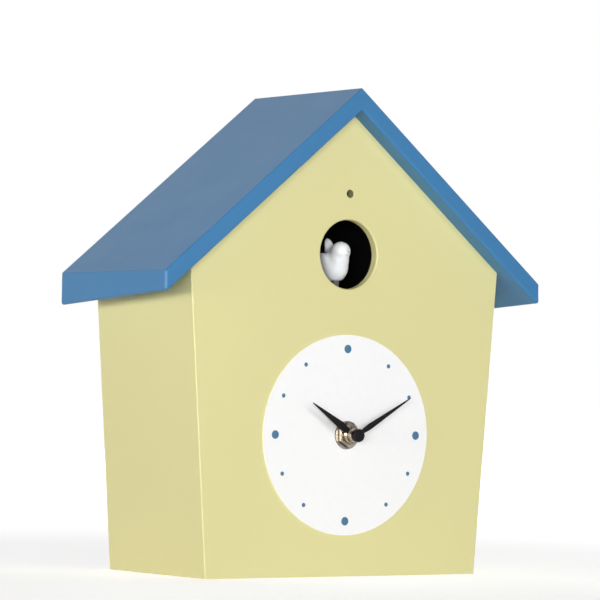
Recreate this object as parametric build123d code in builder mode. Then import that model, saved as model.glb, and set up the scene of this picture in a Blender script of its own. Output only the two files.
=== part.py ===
from build123d import *
import os
from math import cos, degrees, pi, radians, sin, tan

# Cuckoo clock in the shape of a small gabled house.
# Millimetres, +Z up, +X to the right seen from the front, +Y towards the wall.
# The origin is the middle of the base's underside.
os.makedirs("parts", exist_ok=True)

# House
clock_height = 241.0
base_width = 162.6
wall_lean = 4.4
body_depth = 87.0
roof_width = 226.4
eave_height = 147.5
roof_overhang = 9.5
fascia_front = 11.0
fascia_rear = 17.4
roof_edge_round = 1.3
front_thickness = 4.5
wall_thickness = 6.0
base_thickness = 6.0
arris_round = 0.6
hole_share = 0.66
hole_radius = 17.1
hole_round = 0.9
sensor_rise = 30.0
sensor_hole_radius = 2.0

# Rear cover, its blocks and the hanger
cover_thickness = 3.0
cover_recess = 3.0
cover_gap = 0.4
block_depth = 10.0
lower_block_width = 14.0
lower_block_height = 30.0
upper_block_inner = 56.0
upper_block_width = 18.0
upper_block_drop = 11.0
ridge_block_width = 60.0
ridge_block_edge = 17.0
screw_radius = 1.5
screw_head_radius = 3.0
screw_head_height = 1.4
screw_bite = 8.0
screw_clearance = 0.1
window_width = 72.0
window_height = 72.0
window_corner = 6.0
hanger_width = 48.0
hanger_height = 17.0
hanger_thickness = 1.6
hanger_corner = 3.0
hanger_drop = 48.0
keyhole_radius = 4.5
keyhole_slot = 4.4
keyhole_rise = 7.0
keyhole_room = 1.5
hanger_screw_spread = 36.0

# Dial and hands, distances counted forwards from the dial's face
dial_height = 69.8
dial_radius = 49.5
dial_thickness = 0.6
washer_radius = 7.0
washer_thickness = 0.8
nut_sides = 6
nut_across_flats = 10.5
nut_thickness = 2.6
nut_turn = 30.0
nut_chamfer = 30.0
bush_radius = 4.0
bush_reach = 5.5
bush_shoulder = 0.6
bush_shoulder_radius = 5.0
hour_pipe_radius = 2.5
hour_pipe_reach = 8.4
arbor_radius = 1.7
arbor_seat_radius = 1.4
arbor_thread_radius = 1.2
arbor_pivot_radius = 1.0
running_clearance = 0.05
hand_thickness = 0.5
hour_hand_reach = 5.9
hour_ring_radius = 3.7
hour_collar_radius = 3.15
hour_hand_length = 29.2
hour_hand_width = 4.0
hour_hand_angle = 302.6
minute_hand_reach = 8.65
minute_hub_height = 0.55
minute_hub_radius = 2.8
minute_hand_length = 37.4
minute_hand_width = 3.0
minute_hand_angle = 60.0
hand_widest_at = 8.6
hand_neck = 1.3
hand_tip = 0.35
cap_radius = 3.25
cap_length = 2.2
cap_round = 0.7
cap_bore_depth = 1.4

# Hand movement
movement_depth = 15.0
movement_split = 7.0
movement_corner = 4.0
shell_front_wall = 1.5
shell_rear_wall = 1.2
shell_side_wall = 1.2
bay_height = 15.0
gear_gap = 0.4
motion_module = 0.4
cannon_teeth = 12
minute_wheel_teeth = 36
minute_pinion_teeth = 10
hour_wheel_teeth = 40
setting_teeth = 12
minute_wheel_bearing = 60.0
setting_bearing = 30.0
hour_wheel_thickness = 1.2
minute_wheel_thickness = 1.0
cannon_length = 2.0
wheel_post_radius = 1.0
wheel_post_past = 0.5
stem_radius = 1.5
stem_seat_depth = 1.1
boss_wall = 1.5
boss_length = 2.3
knob_radius = 5.5
knob_length = 5.0
knob_gap = 0.5
knob_flutes = 14
knob_flute_radius = 0.7
coil_radius = 3.0
coil_flange = 8.0
coil_flange_thickness = 1.2
coil_edge = 1.8
coil_inner = 7.0
coil_top = 2.8
movement_board_edge = 1.3
movement_board_inner = 10.5
movement_board_height = 20.0
movement_board_rise = 2.0
board_thickness = 1.2
chip_radius = 3.0
chip_height = 1.0

# Dry cells and their contacts
cell_radius = 7.1
cell_length = 50.5
cell_nub_radius = 2.7
cell_nub_length = 1.3
cell_round = 0.8
cell_clearance = 0.1
contact_bow = 1.55
contact_thickness = 0.4
contact_height = 10.0
contact_width = 7.0
contact_foot = 0.9

# Gear teeth, in shares of the module
tooth_addendum = 0.8
tooth_dedendum = 1.1
tooth_share = 0.45
tooth_slant = 20.0

# Bird and its drive
bird_travel = 24.0
bird_depth = 11.0
arm_drop = 13.0
arm_height = 2.9
arm_width = 3.2
arm_past_bird = 0.5
flange_thickness = 2.0
flange_width = 54.0
flange_below = 26.0
flange_above = 38.0
flange_corner = 4.0
tunnel_wall = 1.5
tunnel_inner = 38.0
tunnel_corner = 4.0
tunnel_length = 43.5
slot_width = 6.0
cheek_thickness = 3.0
slide_clearance = 0.3
carriage_width = 14.0
carriage_height = 7.0
carriage_head_room = 0.4
carriage_front_room = 1.0
carriage_past_rack = 1.5
tongue_width = 1.6
tongue_height = 2.0
tongue_drop = 3.1
post_length = 4.0
post_setback = 5.0
rack_width = 6.0
rack_module = 0.8
rack_pinion_teeth = 14
rack_spare_teeth = 3
rack_lead = 3.0
drive_module = 0.5
drive_wheel_teeth = 40
drive_pinion_teeth = 10
drive_wheel_thickness = 2.2
drive_axle_radius = 1.5
idler_axle_radius = 1.0
axle_past = 0.5
wheel_side_gap = 0.6
bed_length = 64.0
bed_front_drop = 20.5
bed_deep_drop = 39.5
bed_tail_drop = 24.5
bed_front_run = 18.0
bed_deep_start = 32.0
bed_deep_end = 56.0
bed_web = 2.0
bed_round = 3.0
motor_radius = 10.0
motor_flats = 15.4
motor_length = 25.0
motor_boss_radius = 3.0
motor_boss_length = 1.5
motor_tail_radius = 4.0
motor_tail_length = 2.0
motor_shaft_radius = 1.0
motor_shaft_depth = 8.0

# Light sensor
sensor_radius = 2.5
sensor_seat_gap = 0.1
sensor_dome = 1.2
sensor_board_width = 16.0
sensor_board_height = 12.0

# Main board and its controls
control_drop = 17.3
main_board_width = 48.0
main_board_height = 32.0
main_board_corner = 2.0
standoff_length = 3.4
standoff_radius = 2.5
standoff_inset = 3.0
control_proud = 2.2
switch_inset = 13.0
switch_travel = 3.0
switch_wall = 0.8
switch_floor = 0.4
switch_height = 3.0
slider_length = 4.0
slider_width = 2.4
slider_foot = 1.0
slider_gap = 0.4
volume_inset = 11.0
volume_body_size = 11.0
volume_body_height = 2.6
volume_shaft_radius = 2.0
volume_knob_radius = 5.2
volume_knob_gap = 0.4
volume_flutes = 16
volume_slot_width = 1.2
volume_slot_depth = 0.8
button_inset = 6.0
button_travel = 0.8
button_radius = 2.6
button_gap = 0.4
button_plunger_radius = 1.7
button_body_size = 6.0
button_body_height = 2.8
button_proud = 1.4

# Speaker
speaker_x = -52.0
speaker_drop = 26.4
speaker_radius = 25.0
speaker_flange = 4.5
speaker_flange_thickness = 1.4
speaker_basket_depth = 9.6
speaker_basket_radius = 12.0
basket_windows = 6
basket_window_radius = 2.8
speaker_wall = 1.0
magnet_radius = 11.0
magnet_thickness = 8.0
cone_radius = 19.5
cone_inner_radius = 7.0
cone_depth = 6.0
cone_thickness = 0.5
grille_pitch = 5.0
grille_slot = 2.4
grille_radius = 19.0

# Battery box and door
box_x = 51.0
box_drop = 19.4
box_wall = 1.6
box_rib = 3.0
door_overlap = 1.8
door_thickness = 1.6
door_gap = 0.3
door_ribs = 5
door_rib_pitch = 2.4
door_rib_width = 1.0
door_rib_height = 0.6
rail_lip = 1.5
rail_wall = 1.4
rail_lip_thickness = 0.7

# Worked-out places
lean = tan(radians(wall_lean))
roof_slope = (clock_height - eave_height) / (roof_width / 2)
wall_run = wall_thickness / cos(radians(wall_lean))
front_y = -body_depth / 2
back_y = body_depth / 2
roof_front_y = front_y - roof_overhang
panel_back_y = front_y + front_thickness
dial_face_y = front_y - dial_thickness
hole_height = hole_share * clock_height
cover_back_y = back_y - cover_recess
cover_front_y = cover_back_y - cover_thickness
tiny = 0.001


def facing(y):
    """Sketch plane at depth y, seen from the front: sketch x is X, sketch y is Z."""
    return Plane(origin=(0, y, 0), x_dir=(1, 0, 0), z_dir=(0, -1, 0))


def seen_from_right(x):
    """Sketch plane at x, seen from the right: sketch x is Y, sketch y is Z."""
    return Plane(origin=(x, 0, 0), x_dir=(0, 1, 0), z_dir=(1, 0, 0))


def keep(piece, name):
    """Labels a finished piece and writes it."""
    piece.part.label = name
    export_step(piece.part, f"parts/{name}.step")


def fascia(y):
    """Upright height of the roof's edge at depth y."""
    share = (y - roof_front_y) / (back_y - roof_front_y)
    return fascia_front + share * (fascia_rear - fascia_front)


def underside(x, y):
    """Height of the roof's underside."""
    return clock_height - fascia(y) - abs(x) * roof_slope


def half_width(z, inset=0.0):
    """Half the body's width at height z, less inset."""
    return base_width / 2 + z * lean - inset


def eave_corner(y, inset=0.0, drop=0.0):
    """Where a wall's face, moved in by inset, meets the roof's underside, lowered by drop."""
    top = underside(0, y) - drop
    x = (half_width(0, inset) + lean * top) / (1 + lean * roof_slope)
    return x, top - x * roof_slope


def gable(y, inset=0.0, drop=0.0, floor=0.0):
    """Outline of the house at depth y."""
    x, z = eave_corner(y, inset, drop)
    foot = half_width(floor, inset)
    return [(-foot, floor), (foot, floor), (x, z), (0, underside(0, y) - drop), (-x, z)]


def polar(radius, angle):
    """Point at a radius and an angle in degrees."""
    return radius * cos(radians(angle)), radius * sin(radians(angle))


def gear_sketch(teeth, module, first_tooth):
    """Spur gear outline, with a tooth centred on the angle first_tooth."""
    pitch_radius = teeth * module / 2
    step = 360 / teeth
    half_pitch = step * tooth_share / 2
    slant = degrees(module * tan(radians(tooth_slant)) / pitch_radius)
    root = (pitch_radius - tooth_dedendum * module, half_pitch + tooth_dedendum * slant)
    middle = (pitch_radius, half_pitch)
    tip = (pitch_radius + tooth_addendum * module, half_pitch - tooth_addendum * slant)
    points = []
    for tooth in range(teeth):
        centre = first_tooth + tooth * step
        points += [polar(radius, centre - half) for radius, half in (root, middle, tip)]
        points += [polar(radius, centre + half) for radius, half in (tip, middle, root)]
    with BuildSketch() as outline:
        with BuildLine():
            Polyline(*points, close=True)
        make_face()
    return outline.sketch


def meshed_tooth(bearing, teeth, other_teeth=1, other_tooth=0.0):
    """First tooth of a gear that meshes with another lying at the angle bearing from it."""
    other_step = 360 / other_teeth
    offset = (bearing - 180 - other_tooth) % other_step
    return bearing + offset * other_teeth / teeth + 180 / teeth


def build_wall(side):
    """Side wall, leaning outwards, its top cut to the roof."""
    with BuildPart() as wall:
        for y in (panel_back_y, back_y):
            outer_x, outer_z = eave_corner(y)
            inner_x, inner_z = eave_corner(y, wall_run)
            with BuildSketch(facing(y)):
                Polygon(
                    (side * half_width(0), 0),
                    (side * outer_x, outer_z),
                    (side * inner_x, inner_z),
                    (side * half_width(0, wall_run), 0),
                    align=None,
                )
        loft(ruled=True)
    return wall


def build_roof(side):
    """Roof panel, thicker towards the wall, mitred at the ridge."""
    with BuildPart() as roof:
        for y in (roof_front_y, back_y):
            eave_x = side * roof_width / 2
            with BuildSketch(facing(y)):
                Polygon(
                    (0, clock_height),
                    (eave_x, eave_height),
                    (eave_x, eave_height - fascia(y)),
                    (0, clock_height - fascia(y)),
                    align=None,
                )
        loft(ruled=True)
        outer_edges = [edge for edge in roof.edges() if abs(edge.center().X) > tiny]
        fillet(outer_edges, roof_edge_round)
    return roof


def build_block(outlines, screw_places):
    """Glue block from its outlines at two depths, with pilot holes from the rear."""
    with BuildPart() as block:
        for y, outline in outlines:
            with BuildSketch(facing(y)):
                Polygon(*outline, align=None)
        loft(ruled=True)
        with BuildSketch(facing(cover_front_y)):
            with Locations(*screw_places):
                Circle(screw_radius)
        extrude(amount=screw_bite, mode=Mode.SUBTRACT)
    return block


def build_screws(places, seat_y, tip_y):
    """Pan-head screws seated at seat_y, with their tips at tip_y."""
    with BuildPart() as screws:
        with BuildSketch(facing(seat_y)):
            with Locations(*places):
                Circle(screw_head_radius)
        extrude(amount=-screw_head_height)
        fillet(screws.faces().sort_by(Axis.Y)[-len(places):].edges(), screw_head_height / 2)
        with BuildSketch(facing(seat_y)):
            with Locations(*places):
                Circle(screw_radius)
        extrude(amount=seat_y - tip_y)
    return screws


def build_cell(centre, direction):
    """Dry cell along X, its nub pointing along direction."""
    body_end = cell_length / 2 - cell_nub_length
    with BuildPart() as cell:
        with BuildSketch(Plane(origin=centre, x_dir=(direction, 0, 0), z_dir=(0, 0, direction))):
            with BuildLine():
                Polyline(
                    (-cell_length / 2, 0),
                    (-cell_length / 2, cell_radius),
                    (body_end, cell_radius),
                    (body_end, cell_nub_radius),
                    (cell_length / 2, cell_nub_radius),
                    (cell_length / 2, 0),
                    close=True,
                )
            make_face()
        revolve(axis=Axis(centre, (direction, 0, 0)))
        rims = cell.edges().filter_by(GeomType.CIRCLE).sort_by(SortBy.RADIUS)[-2:]
        fillet(rims, cell_round)
    return cell


def build_contacts(half_span, places):
    """Bowed contact leaves at both ends of each cell's place (y, z)."""
    with BuildPart() as leaves:
        for y, z in places:
            for side in (-1, 1):
                root = (side * half_span[1] + half_span[0], y, z - contact_width / 2)
                with BuildSketch(Plane(origin=root, x_dir=(-side, 0, 0), z_dir=(0, 0, 1))):
                    with BuildLine():
                        half = contact_height / 2
                        inner = half - contact_foot
                        ThreePointArc((0, -half), (contact_bow, 0), (0, half))
                        Line((0, half), (0, inner))
                        ThreePointArc((0, inner), (contact_bow - contact_thickness, 0), (0, -inner))
                        Line((0, -inner), (0, -half))
                    make_face()
                extrude(amount=contact_width)
    return leaves


def build_hand(seat_y, length, width, angle, bore, hub_radius, hub_length):
    """Lance-shaped hand on its hub, pointing at a clock angle."""
    half_widths = ((0, hand_neck / 2), (hand_widest_at, width / 2), (length, hand_tip / 2))
    right_side = [(half, reach) for reach, half in half_widths]
    left_side = [(-half, reach) for reach, half in reversed(half_widths)]
    with BuildPart() as hand:
        with BuildSketch(facing(seat_y - hub_length + hand_thickness)):
            with Locations(Location((0, dial_height), -angle)):
                Polygon(*right_side, *left_side, align=None)
        extrude(amount=hand_thickness)
        with BuildSketch(facing(seat_y)):
            with Locations((0, dial_height)):
                Circle(hub_radius)
        extrude(amount=hub_length)
        with BuildSketch(facing(seat_y)):
            with Locations((0, dial_height)):
                Circle(bore)
        extrude(amount=hub_length, mode=Mode.SUBTRACT)
    return hand


# Front panel with the bird hole, the sensor hole and the bush hole
sensor_height = hole_height + sensor_rise
with BuildPart() as front_panel:
    for y in (front_y, panel_back_y):
        with BuildSketch(facing(y)):
            Polygon(*gable(y), align=None)
    loft(ruled=True)
    arrises = [
        edge
        for edge in front_panel.edges()
        if abs(edge.center().Y - front_y) < tiny
        and abs(edge.center().X) > base_width / 4
        and edge.center().Z < eave_height - fascia_front
    ]
    fillet(arrises, arris_round)
    with BuildSketch(facing(front_y)):
        with Locations((0, hole_height)):
            Circle(hole_radius)
        with Locations((0, sensor_height)):
            Circle(sensor_hole_radius)
        with Locations((0, dial_height)):
            Circle(bush_radius)
    extrude(amount=-front_thickness, mode=Mode.SUBTRACT)
    rims = front_panel.edges().filter_by(GeomType.CIRCLE)
    bird_rims = [edge for edge in rims if abs(edge.radius - hole_radius) < tiny]
    fillet(ShapeList(bird_rims).sort_by(Axis.Y)[0], hole_round)
keep(front_panel, "front_panel")

# Side walls, base and roof
left_wall = build_wall(-1)
keep(left_wall, "left_wall")
right_wall = build_wall(1)
keep(right_wall, "right_wall")

with BuildPart() as base_panel:
    with BuildSketch(facing(panel_back_y)):
        Polygon(
            (-half_width(0, wall_run), 0),
            (half_width(0, wall_run), 0),
            (half_width(base_thickness, wall_run), base_thickness),
            (-half_width(base_thickness, wall_run), base_thickness),
            align=None,
        )
    extrude(amount=panel_back_y - back_y)
keep(base_panel, "base_panel")

roof_left = build_roof(-1)
keep(roof_left, "roof_left")
roof_right = build_roof(1)
keep(roof_right, "roof_right")

# Blocks that carry the rear cover
block_front_y = cover_front_y - block_depth
block_depths = (block_front_y, cover_front_y)
lower_top = base_thickness + lower_block_height
lower_screw_x = half_width(base_thickness, wall_run) - lower_block_width / 2
lower_screw_z = base_thickness + lower_block_height / 2
upper_block_outer = upper_block_inner + upper_block_width
upper_block_foot = underside(upper_block_outer, cover_front_y) - upper_block_drop
upper_screw_x = upper_block_inner + upper_block_width / 2
upper_screw_z = upper_block_foot + upper_block_drop / 2
for side, side_name in ((-1, "left"), (1, "right")):
    foot_x = half_width(base_thickness, wall_run)
    top_x = half_width(lower_top, wall_run)
    lower_outline = [
        (side * foot_x, base_thickness),
        (side * top_x, lower_top),
        (side * (foot_x - lower_block_width), lower_top),
        (side * (foot_x - lower_block_width), base_thickness),
    ]
    lower_block = build_block(
        [(y, lower_outline) for y in block_depths], [(side * lower_screw_x, lower_screw_z)]
    )
    keep(lower_block, f"lower_{side_name}_block")
    upper_outlines = []
    for y in block_depths:
        upper_outline = [
            (side * upper_block_inner, upper_block_foot),
            (side * upper_block_outer, upper_block_foot),
            (side * upper_block_outer, underside(upper_block_outer, y)),
            (side * upper_block_inner, underside(upper_block_inner, y)),
        ]
        upper_outlines.append((y, upper_outline))
    upper_block = build_block(upper_outlines, [(side * upper_screw_x, upper_screw_z)])
    keep(upper_block, f"upper_{side_name}_block")

# Ridge block that carries the hanger
keyhole_height = clock_height - hanger_drop
hanger_middle = keyhole_height + keyhole_rise / 2
hanger_screws_at = [(side * hanger_screw_spread / 2, hanger_middle) for side in (-1, 1)]
ridge_half = ridge_block_width / 2
ridge_foot = underside(ridge_half, cover_front_y) - ridge_block_edge
ridge_outlines = []
for y in block_depths:
    ridge_outline = [
        (-ridge_half, ridge_foot),
        (ridge_half, ridge_foot),
        (ridge_half, underside(ridge_half, y)),
        (0, underside(0, y)),
        (-ridge_half, underside(ridge_half, y)),
    ]
    ridge_outlines.append((y, ridge_outline))
ridge_block = build_block(ridge_outlines, hanger_screws_at)
with BuildPart() as ridge_block_cut:
    add(ridge_block.part)
    with BuildSketch(facing(cover_front_y)):
        with Locations(Location((0, hanger_middle), 90)):
            SlotCenterToCenter(keyhole_rise, 2 * (keyhole_radius + keyhole_room))
    extrude(amount=screw_bite, mode=Mode.SUBTRACT)
keep(ridge_block_cut, "ridge_block")

# Places of the speaker, battery box and controls, hung from the blocks
speaker_offset = (speaker_x, upper_block_foot - speaker_drop)
box_offset = (box_x, upper_block_foot - box_drop)
control_height = ridge_foot - control_drop

# Battery box sizes that the cover's mouth and door follow
cell_span = cell_length + 2 * contact_bow
cell_room = 2 * (cell_radius + cell_clearance)
box_inner_height = 2 * cell_room
box_length = cell_span + 2 * box_wall
box_height = box_inner_height + 2 * box_wall
box_depth = cell_room + box_wall
door_length = box_length + 2 * door_overlap
door_height = box_height + 2 * door_overlap
door_back_y = cover_back_y + door_gap

# Rear cover with its window, grille, battery mouth, control openings and door rails
main_board_y = cover_front_y - standoff_length
control_places = {
    "switch": (main_board_width / 2 - switch_inset, control_height),
    "volume": (volume_inset - main_board_width / 2, control_height),
    "button": (0, control_height - main_board_height / 2 + button_inset),
}
standoff_x = main_board_width / 2 - standoff_inset
standoff_z = main_board_height / 2 - standoff_inset
cover_screws_at = [(side * lower_screw_x, lower_screw_z) for side in (-1, 1)]
cover_screws_at += [(side * upper_screw_x, upper_screw_z) for side in (-1, 1)]
with BuildPart() as rear_cover:
    for y in (cover_front_y, cover_back_y):
        with BuildSketch(facing(y)):
            Polygon(*gable(y, wall_run + cover_gap, cover_gap, base_thickness + cover_gap), align=None)
    loft(ruled=True)
    with BuildSketch(facing(cover_back_y)):
        with Locations((0, dial_height)):
            RectangleRounded(window_width, window_height, window_corner)
        with Locations(box_offset):
            Rectangle(cell_span, box_inner_height)
        with Locations(control_places["switch"]):
            Rectangle(slider_length + 2 * switch_travel + 2 * slider_gap, slider_width + 2 * slider_gap)
        with Locations(control_places["volume"]):
            Circle(volume_knob_radius + volume_knob_gap)
        with Locations(control_places["button"]):
            Circle(button_radius + button_gap)
        with Locations(Location((0, hanger_middle), 90)):
            SlotCenterToCenter(keyhole_rise, 2 * (keyhole_radius + keyhole_room))
        with Locations(*cover_screws_at, *hanger_screws_at):
            Circle(screw_radius + screw_clearance)
        rows = int(grille_radius // grille_pitch)
        for row in range(-rows, rows + 1):
            rise = row * grille_pitch
            chord = 2 * (grille_radius**2 - rise**2) ** 0.5
            with Locations((speaker_offset[0], speaker_offset[1] + rise)):
                SlotOverall(max(chord, 2 * grille_slot), grille_slot)
    extrude(amount=cover_thickness, mode=Mode.SUBTRACT)
    with BuildSketch(facing(cover_front_y)):
        with Locations((0, control_height)):
            with GridLocations(2 * standoff_x, 2 * standoff_z, 2, 2):
                Circle(standoff_radius)
    extrude(amount=standoff_length)
    lip_y = door_back_y + door_thickness + door_gap
    rail_top_y = lip_y + rail_lip_thickness
    rail_start = box_offset[0] - door_length / 2
    for side in (-1, 1):
        edge_z = box_offset[1] + side * door_height / 2
        with BuildSketch(seen_from_right(rail_start)):
            Polygon(
                (cover_back_y, edge_z + side * door_gap),
                (lip_y, edge_z + side * door_gap),
                (lip_y, edge_z - side * rail_lip),
                (rail_top_y, edge_z - side * rail_lip),
                (rail_top_y, edge_z + side * (door_gap + rail_wall)),
                (cover_back_y, edge_z + side * (door_gap + rail_wall)),
                align=None,
            )
        extrude(amount=door_length + door_gap)
    with BuildSketch(facing(cover_back_y)):
        with Locations((box_offset[0] + door_length / 2 + door_gap + rail_wall / 2, box_offset[1])):
            Rectangle(rail_wall, door_height + 2 * (door_gap + rail_wall))
    extrude(amount=cover_back_y - rail_top_y)
keep(rear_cover, "rear_cover")

cover_screws = build_screws(cover_screws_at, cover_back_y, cover_front_y - screw_bite)
keep(cover_screws, "cover_screws")

# Hanger plate with its keyhole
hanger_back_y = cover_back_y + hanger_thickness
with BuildPart() as hanger_plate:
    with BuildSketch(facing(cover_back_y)):
        with Locations((0, hanger_middle)):
            RectangleRounded(hanger_width, hanger_height, hanger_corner)
        with Locations((0, keyhole_height)):
            Circle(keyhole_radius, mode=Mode.SUBTRACT)
        with Locations(Location((0, hanger_middle), 90)):
            SlotCenterToCenter(keyhole_rise, keyhole_slot, mode=Mode.SUBTRACT)
        with Locations(*hanger_screws_at):
            Circle(screw_radius + screw_clearance, mode=Mode.SUBTRACT)
    extrude(amount=-hanger_thickness)
keep(hanger_plate, "hanger_plate")

hanger_screws = build_screws(hanger_screws_at, hanger_back_y, cover_front_y - screw_bite)
keep(hanger_screws, "hanger_screws")

# Dial, washer, nut and threaded bush
with BuildPart() as dial:
    with BuildSketch(facing(front_y)):
        with Locations((0, dial_height)):
            Circle(dial_radius)
            Circle(bush_radius, mode=Mode.SUBTRACT)
    extrude(amount=dial_thickness)
keep(dial, "dial")

with BuildPart() as bush_washer:
    with BuildSketch(facing(dial_face_y)):
        with Locations((0, dial_height)):
            Circle(washer_radius)
            Circle(bush_radius, mode=Mode.SUBTRACT)
    extrude(amount=washer_thickness)
keep(bush_washer, "bush_washer")

nut_back_y = dial_face_y - washer_thickness
with BuildPart() as bush_nut:
    with BuildSketch(facing(nut_back_y)):
        with Locations((0, dial_height)):
            RegularPolygon(nut_across_flats / 2, nut_sides, major_radius=False, rotation=nut_turn)
            Circle(bush_radius, mode=Mode.SUBTRACT)
    extrude(amount=nut_thickness)
    nut_front_y = nut_back_y - nut_thickness
    nut_corner = nut_across_flats / 2 / cos(pi / nut_sides)
    corner_drop = (nut_corner - nut_across_flats / 2) * tan(radians(nut_chamfer))
    with BuildSketch(Plane(origin=(0, 0, dial_height), x_dir=(1, 0, 0), z_dir=(0, 0, 1))):
        Polygon(
            (0, nut_back_y),
            (nut_corner, nut_back_y),
            (nut_corner, nut_front_y + corner_drop),
            (nut_across_flats / 2, nut_front_y),
            (0, nut_front_y),
            align=None,
        )
    revolve(axis=Axis((0, 0, dial_height), (0, 1, 0)), mode=Mode.INTERSECT)
keep(bush_nut, "bush_nut")

chamber_y = panel_back_y + shell_front_wall
with BuildPart() as threaded_bush:
    with BuildSketch(facing(chamber_y)):
        with Locations((0, dial_height)):
            Circle(bush_radius)
    extrude(amount=chamber_y - dial_face_y + bush_reach)
    with BuildSketch(facing(chamber_y)):
        with Locations((0, dial_height)):
            Circle(bush_shoulder_radius)
    extrude(amount=-bush_shoulder)
    with BuildSketch(facing(chamber_y + bush_shoulder)):
        with Locations((0, dial_height)):
            Circle(hour_pipe_radius + running_clearance)
    extrude(amount=bush_shoulder + chamber_y - dial_face_y + bush_reach, mode=Mode.SUBTRACT)
keep(threaded_bush, "threaded_bush")

# Hand movement's case: gear chamber above, cell bay below
split_y = panel_back_y + movement_split
movement_back_y = panel_back_y + movement_depth
inner_size = cell_span
movement_size = inner_size + 2 * shell_side_wall
bay_floor = dial_height - movement_size / 2 + shell_side_wall
chamber_floor = bay_floor + bay_height + shell_side_wall
chamber_top = dial_height + movement_size / 2 - shell_side_wall
bay_middle = (0, bay_floor + bay_height / 2)
chamber_middle = (0, (chamber_floor + chamber_top) / 2)
chamber_height = chamber_top - chamber_floor

hour_wheel_y = chamber_y + bush_shoulder + gear_gap
cannon_y = hour_wheel_y + hour_wheel_thickness + gear_gap
minute_wheel_y = cannon_y + (cannon_length - minute_wheel_thickness) / 2
motion_distance = motion_module * (cannon_teeth + minute_wheel_teeth) / 2
hour_module = 2 * motion_distance / (minute_pinion_teeth + hour_wheel_teeth)
wheel_dx, wheel_dz = polar(motion_distance, minute_wheel_bearing)
minute_wheel_at = (wheel_dx, dial_height + wheel_dz)
setting_distance = motion_module * (minute_wheel_teeth + setting_teeth) / 2
stem_dx, stem_dz = polar(setting_distance, setting_bearing)
stem_at = (minute_wheel_at[0] + stem_dx, minute_wheel_at[1] + stem_dz)
stem_boss_length = stem_seat_depth + gear_gap
chamber_back_y = movement_back_y - shell_rear_wall

with BuildPart() as movement_front:
    with BuildSketch(facing(panel_back_y)):
        with Locations((0, dial_height)):
            RectangleRounded(movement_size, movement_size, movement_corner)
    extrude(amount=-movement_split)
    with BuildSketch(facing(chamber_y)):
        with Locations(chamber_middle):
            Rectangle(inner_size, chamber_height)
        with Locations(bay_middle):
            Rectangle(inner_size, bay_height)
    extrude(amount=chamber_y - split_y, mode=Mode.SUBTRACT)
    with BuildSketch(facing(chamber_y)):
        with Locations(minute_wheel_at):
            Circle(wheel_post_radius)
    extrude(amount=chamber_y - minute_wheel_y - minute_wheel_thickness - wheel_post_past)
    with BuildSketch(facing(chamber_y)):
        with Locations(stem_at):
            Circle(stem_radius + boss_wall)
    extrude(amount=-stem_boss_length)
    with BuildSketch(facing(chamber_y + stem_boss_length)):
        with Locations(stem_at):
            Circle(stem_radius + running_clearance)
    extrude(amount=stem_seat_depth, mode=Mode.SUBTRACT)
    with BuildSketch(facing(panel_back_y)):
        with Locations((0, dial_height)):
            Circle(bush_radius)
    extrude(amount=-shell_front_wall, mode=Mode.SUBTRACT)
keep(movement_front, "movement_front")

with BuildPart() as movement_rear:
    with BuildSketch(facing(split_y)):
        with Locations((0, dial_height)):
            RectangleRounded(movement_size, movement_size, movement_corner)
    extrude(amount=split_y - movement_back_y)
    with BuildSketch(facing(split_y)):
        with Locations(chamber_middle):
            Rectangle(inner_size, chamber_height)
    extrude(amount=split_y - chamber_back_y, mode=Mode.SUBTRACT)
    with BuildSketch(facing(split_y)):
        with Locations(bay_middle):
            Rectangle(inner_size, bay_height)
    extrude(amount=split_y - movement_back_y, mode=Mode.SUBTRACT)
    with BuildSketch(facing(chamber_back_y)):
        with Locations((0, dial_height)):
            Circle(arbor_pivot_radius + boss_wall)
    extrude(amount=boss_length)
    with BuildSketch(facing(chamber_back_y - boss_length)):
        with Locations((0, dial_height)):
            Circle(arbor_pivot_radius + running_clearance)
    extrude(amount=-boss_length, mode=Mode.SUBTRACT)
    with BuildSketch(facing(movement_back_y)):
        with Locations(stem_at):
            Circle(stem_radius + running_clearance)
    extrude(amount=shell_rear_wall, mode=Mode.SUBTRACT)
keep(movement_rear, "movement_rear")

# Motion work: cannon pinion on the arbor, minute wheel, hour wheel and setting stem
cannon_tooth = minute_wheel_bearing
minute_wheel_tooth = meshed_tooth(minute_wheel_bearing + 180, minute_wheel_teeth, cannon_teeth, cannon_tooth)
hour_wheel_tooth = minute_wheel_bearing
minute_pinion_tooth = meshed_tooth(
    minute_wheel_bearing + 180, minute_pinion_teeth, hour_wheel_teeth, hour_wheel_tooth
)
setting_tooth = meshed_tooth(setting_bearing + 180, setting_teeth, minute_wheel_teeth, minute_wheel_tooth)

minute_seat_y = dial_face_y - minute_hand_reach
arbor_tip_y = minute_seat_y - minute_hub_height - cap_bore_depth
cannon_back_y = cannon_y + cannon_length
arbor_steps = [
    (arbor_pivot_radius, cannon_back_y, chamber_back_y - gear_gap),
    (arbor_radius, minute_seat_y, cannon_back_y),
    (arbor_seat_radius, minute_seat_y - minute_hub_height, minute_seat_y),
    (arbor_thread_radius, arbor_tip_y, minute_seat_y - minute_hub_height),
]
with BuildPart() as minute_arbor:
    for radius, step_front_y, step_back_y in arbor_steps:
        with BuildSketch(facing(step_back_y)):
            with Locations((0, dial_height)):
                Circle(radius)
        extrude(amount=step_back_y - step_front_y)
    with BuildSketch(facing(cannon_y)):
        with Locations((0, dial_height)):
            add(gear_sketch(cannon_teeth, motion_module, cannon_tooth))
    extrude(amount=-cannon_length)
keep(minute_arbor, "minute_arbor")

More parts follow.
